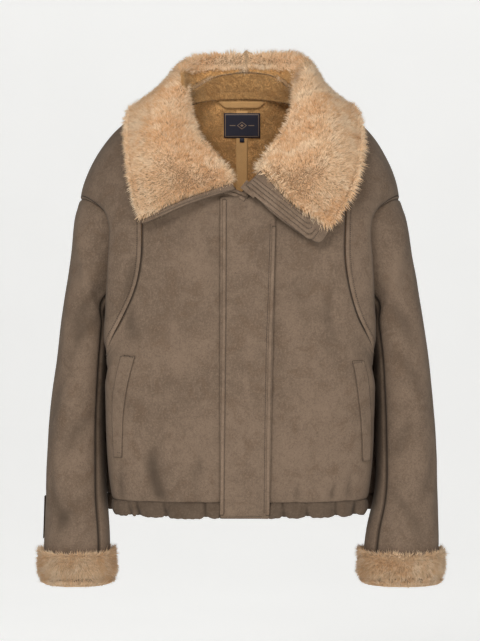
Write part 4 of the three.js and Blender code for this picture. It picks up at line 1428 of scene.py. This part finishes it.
class JACKET_OT_collar(bpy.types.Operator):
    """Fur collar with its stand and front bands"""

    bl_idname = "jacket.collar"
    bl_label = "Collar"

    def execute(self, context):
        sizes = context.scene.jacket_sizes
        finishes = [finish_of("pelt"), finish_of("pelt"), finish_of("suede"), finish_of("fleece")]
        for number, hand in enumerate(("right", "left")):
            node = f"collar_fur_{hand}"
            form = fur_base(node, sizes.collar_pile * 0.66, sizes.fleece_pile * 0.8)
            hide = make_object(form, node + "_hide", finishes)
            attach(hide, "root")
            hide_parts(node)
            fur = plant(node + "_pile", hide.data, COLLAR_STRANDS, sizes.collar_pile, COLLAR_STRAND_WIDE,
                        0.17, 10 + number, finish_of("fur"), long_share, collar_flow, 0.7, at_seam)
            plant_fleece(node + "_fleece", hide.data, LEAF_FLEECE_STRANDS, sizes.fleece_pile, 14 + number,
                         "fleece_tuft", short_share)
        # the stand and its fleece take the fleece's darker copy, a painted shade
        stand = soft_solid("collar_stand", "fleece_stand", swell=stand_swell, edge=0)
        plant_fleece("collar_stand_fleece", stand.data, STAND_FLEECE_STRANDS, sizes.fleece_pile, 18,
                     "stand_tuft")
        for hand in ("right", "left"):
            soft_solid(f"collar_band_{hand}", "suede", 3, 0.9)
        return {"FINISHED"}


def cuff_share(vert):
    """Sparser inside the cuff, where the arm goes, and in pointed tufts at its lower edge"""
    side = 1 if vert.co.x > 0 else -1
    out = Vector((vert.co.x - side * CUFF_MIDDLE[0], vert.co.y - CUFF_MIDDLE[1], 0)).normalized()
    if vert.normal.dot(out) < -0.5:
        return 0.25, 0.6
    if vert.normal.z < -0.4:
        return 1, 0.45 + 0.9 * max(noise.noise(vert.co * 210), 0)
    tuft = ease(-0.712, -0.724, vert.co.z) * noise.noise(Vector((vert.co.x, vert.co.y, 0)) * 190)
    return 1, 1 + 0.5 * tuft


class JACKET_OT_cuffs(bpy.types.Operator):
    """Turned-back fur cuffs"""

    bl_idname = "jacket.cuffs"
    bl_label = "Cuffs"

    def execute(self, context):
        sizes = context.scene.jacket_sizes
        for number, hand in enumerate(("right", "left")):
            node = f"cuff_{hand}"
            form = subdivided(merged(node), 2)
            form.normal_update()
            moves = []
            for vert in form.verts:
                share, _ = cuff_share(vert)
                sink = sizes.cuff_pile * 0.85 if share == 1 else 1 * MM
                low = ease(CUFF_LOW + 16 * MM, CUFF_LOW, vert.co.z) * 5 * MM
                moves.append(vert.normal * -sink + Vector((0, 0, low)))
            move_points(form, moves)
            hide = make_object(form, node + "_hide", [finish_of("pelt")])
            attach(hide, "root")
            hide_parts(node)
            fur = plant(node + "_pile", hide.data, CUFF_STRANDS, sizes.cuff_pile, STRAND_WIDE, 0.22,
                        30 + number, finish_of("fur_cuff"), cuff_share, None, 0.62)
        return {"FINISHED"}


def neck_share(vert):
    """Fleece inside the back of the neck, clear of the label, tape and loop"""
    place = vert.co
    if abs(place.x) > 0.1 or place.z < -0.16 or vert.normal.y > -0.2:
        return 0, 1
    for node in NECK_TRIM:
        low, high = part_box(node)
        if low.x - 0.002 < place.x < high.x + 0.002 and low.z - 0.003 < place.z < high.z + 0.002:
            return 0, 1
    return 1, 1


def neck_seam():
    """The seam under the collar's stand, as places on it with their normals"""
    stand = surface_of(["collar_stand_cloth"])
    places = []
    for part in range(33):
        x = -NECK_SEAM_HALF + 2 * NECK_SEAM_HALF * part / 32
        row = NECK_SEAM_ROW + NECK_SEAM_DROP * (abs(x) / NECK_SEAM_HALF) ** 2.2
        found = seen(stand, (PHOTO_WIDTH / 2 + x / 1.5, row - 3.3))
        if found is None:
            continue
        place = found[0]
        z = CAMERA.z - (row - PHOTO_HEIGHT / 2) * PIXEL * (place.y - CAMERA.y) / -CAMERA.y
        places.append((Vector((place.x, place.y - 0.5 * MM, z)), Vector((0, -1, 0.1)).normalized()))
    if len(places) < 8:
        raise RuntimeError("the neck's seam meets no stand")
    return places


class JACKET_OT_neck(bpy.types.Operator):
    """Seam tape, hanging loop, label and fleece inside the back of the neck"""

    bl_idname = "jacket.neck"
    bl_label = "Inside of the neck"

    def execute(self, context):
        pile = context.scene.jacket_sizes.fleece_pile
        for node, finish in NECK_TRIM.items():
            soft_solid(node, finish, 1, 1.0)
        for number, node in enumerate(BACKS):
            ground = bpy.data.objects[node + "_cloth"].data
            plant_fleece(node + "_fleece", ground, BACK_FLEECE_STRANDS, pile * 0.8, 40 + number,
                         "fleece_tuft", neck_share)
        # the seam's binding and its fleece take the fleece's darker copy, a painted shade
        binding = strip("neck_seam_fleece", neck_seam(), 11 * MM, 0.9 * MM, "fleece_stand")
        plant_fleece("neck_seam_pile", binding.data, NECK_SEAM_STRANDS, pile * 0.9, 50, "stand_tuft")
        backs = surface_of([node + "_cloth" for node in BACKS])
        places = [
            (Vector((0, place.y - 0.4 * MM, place.z)), normal)
            for place, normal in seen_line(backs, [(243, 98), (243, 114)], 3)
        ]
        strip("neck_seam_join", places, 9 * MM, 0.6 * MM, "fleece")
        return {"FINISHED"}


def band_pixel(along, inset):
    """The photograph's pixel on the stitched band, this far along its lower edge and in from it"""
    run_x, run_y = BAND_RUN
    return (
        BAND_START[0] + run_x * along + run_y * inset,
        BAND_START[1] + run_y * along - run_x * inset,
        0,
    )


def band_row(inset):
    """A row of sewing that turns up at the band's corner"""
    turn = BAND_LONG - inset - BAND_CORNER
    pixels = [band_pixel(3 + (turn - 3) * part / 12, inset) for part in range(13)]
    for part in range(1, 6):
        angle = part * math.pi / 10
        along = turn + BAND_CORNER * math.sin(angle)
        pixels.append(band_pixel(along, inset + BAND_CORNER * (1 - math.cos(angle))))
    if inset + BAND_CORNER + 1 < BAND_TOP:
        pixels.append(band_pixel(BAND_LONG - inset, BAND_TOP))
    return pixels


def seen_line(surface, pixels, step):
    """Places on the cloth along a line of the photograph's pixels, a step in mm apart"""
    line = even_steps([(*pixel[:2], 0) for pixel in pixels], step / (PIXEL / MM))
    return [found for found in (seen(surface, pixel) for pixel in line) if found]


def sew_seams(step):
    """A lapped strip and a row of stitches along each seam between panels"""
    for row, (node, neighbours, width, inset) in enumerate(SEAMS):
        for part, places in enumerate(seam_lines(node, neighbours, width / 2 * MM, STRIP_STEP)):
            strip(f"{node}_strip_{row}{part}", places, width * MM, 1.1 * MM)
        sewn = seam_lines(node, neighbours, inset * MM, step)
        if sewn:
            stitches(f"{node}_stitches_{row}", sewn)


def sew_flap(step):
    """The flap's two lapped strips and its rows of stitches"""
    flap = surface_of(["placket_cloth"])
    for name, pixels in FLAP_STRIPS.items():
        strip(name, seen_line(flap, pixels, 5), 5.2 * MM, 1.4 * MM)
    stitches("flap_stitches", [seen_line(flap, line, step / MM) for line in FLAP_STITCHES])


def sew_pockets():
    """Short rows of stitches at the pockets' ends"""
    fronts = surface_of([node + "_cloth" for node in FRONTS + POCKETS])
    stitches("pocket_stitches", [seen_line(fronts, line, BAND_STEP) for line in POCKET_STITCHES])


def sew_band():
    """Rows of stitches on the wide band, the ridges between them and the short start of the band"""
    band = surface_of(["collar_band_left_cloth"])
    rows = [seen_line(band, band_row(inset), BAND_STEP) for inset in BAND_ROWS]
    stitches("band_stitches", rows, long=1.6 * MM, thick=1.2 * MM)
    for number, (low, high) in enumerate(zip(BAND_ROWS, BAND_ROWS[1:])):
        places = seen_line(band, band_row((low + high) / 2), BAND_STEP)
        strip(f"band_ridge_{number}", places, 4.9 * MM, 0.7 * MM, wall=0.6 * MM, edge=0.3)
    near, far = (seen(band, band_pixel(along, 6.5)) for along in (15, 27))
    run = (near[0] - far[0]).normalized()
    places = [(near[0] + run * 4 * MM * part - near[1] * 0.5 * MM, near[1]) for part in range(7)]
    strip("band_start", places, 15 * MM, 0.5 * MM, wall=1.2 * MM, edge=0.3)


def sew_zip():
    """The teeth along the narrow band's lower edge"""
    edge = surface_of(["collar_band_right_cloth"])
    teeth = [(place + Vector((0, 0, -1.6 * MM)), normal) for place, normal in seen_line(edge, ZIP_EDGE, 2.4)]
    stitches("zip_teeth", [teeth], "metal", 1.4 * MM, 1.3 * MM)


def sew_notch():
    """The folds of cloth at the bottom of the neck opening"""
    under = surface_of(["front_centre_right_cloth", "front_centre_left_cloth", "placket_cloth"])
    for number, pixels in enumerate(NOTCH_FOLDS):
        strip(f"notch_fold_{number}", seen_line(under, pixels, 3), 6 * MM, 2.6 * MM)


class JACKET_OT_sewing(bpy.types.Operator):
    """Lapped strips, topstitching and zip teeth"""

    bl_idname = "jacket.sewing"
    bl_label = "Sewing"

    def execute(self, context):
        step = context.scene.jacket_sizes.stitch_step
        sew_seams(step)
        sew_flap(step)
        sew_pockets()
        sew_band()
        sew_zip()
        sew_notch()
        return {"FINISHED"}


class JACKET_PT_build(bpy.types.Panel):
    """Lists the jacket's operators"""

    bl_label = "Shearling Jacket"
    bl_idname = "JACKET_PT_build"
    bl_space_type = "VIEW_3D"
    bl_region_type = "UI"
    bl_category = "Jacket"

    def draw(self, context):
        for operator in OPERATORS:
            self.layout.operator(operator.bl_idname)
        for group in (context.scene.jacket_sizes, context.scene.jacket_colours):
            for name in group.__annotations__:
                self.layout.prop(group, name)


OPERATORS = (
    JACKET_OT_stage,
    JACKET_OT_body,
    JACKET_OT_sleeves,
    JACKET_OT_hem,
    JACKET_OT_collar,
    JACKET_OT_cuffs,
    JACKET_OT_neck,
    JACKET_OT_sewing,
)
CLASSES = (JacketSizes, JacketColours, *OPERATORS, JACKET_PT_build)


def register():
    for item in CLASSES:
        bpy.utils.register_class(item)
    bpy.types.Scene.jacket_sizes = bpy.props.PointerProperty(type=JacketSizes)
    bpy.types.Scene.jacket_colours = bpy.props.PointerProperty(type=JacketColours)


def unregister():
    del bpy.types.Scene.jacket_colours
    del bpy.types.Scene.jacket_sizes
    for item in reversed(CLASSES):
        bpy.utils.unregister_class(item)


def main():
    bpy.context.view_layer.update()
    register()
    for operator in OPERATORS:
        group, name = operator.bl_idname.split(".")
        if getattr(getattr(bpy.ops, group), name)() != {"FINISHED"}:
            raise RuntimeError(f"{operator.bl_idname} didn't finish")


if __name__ == "__main__":
    main()
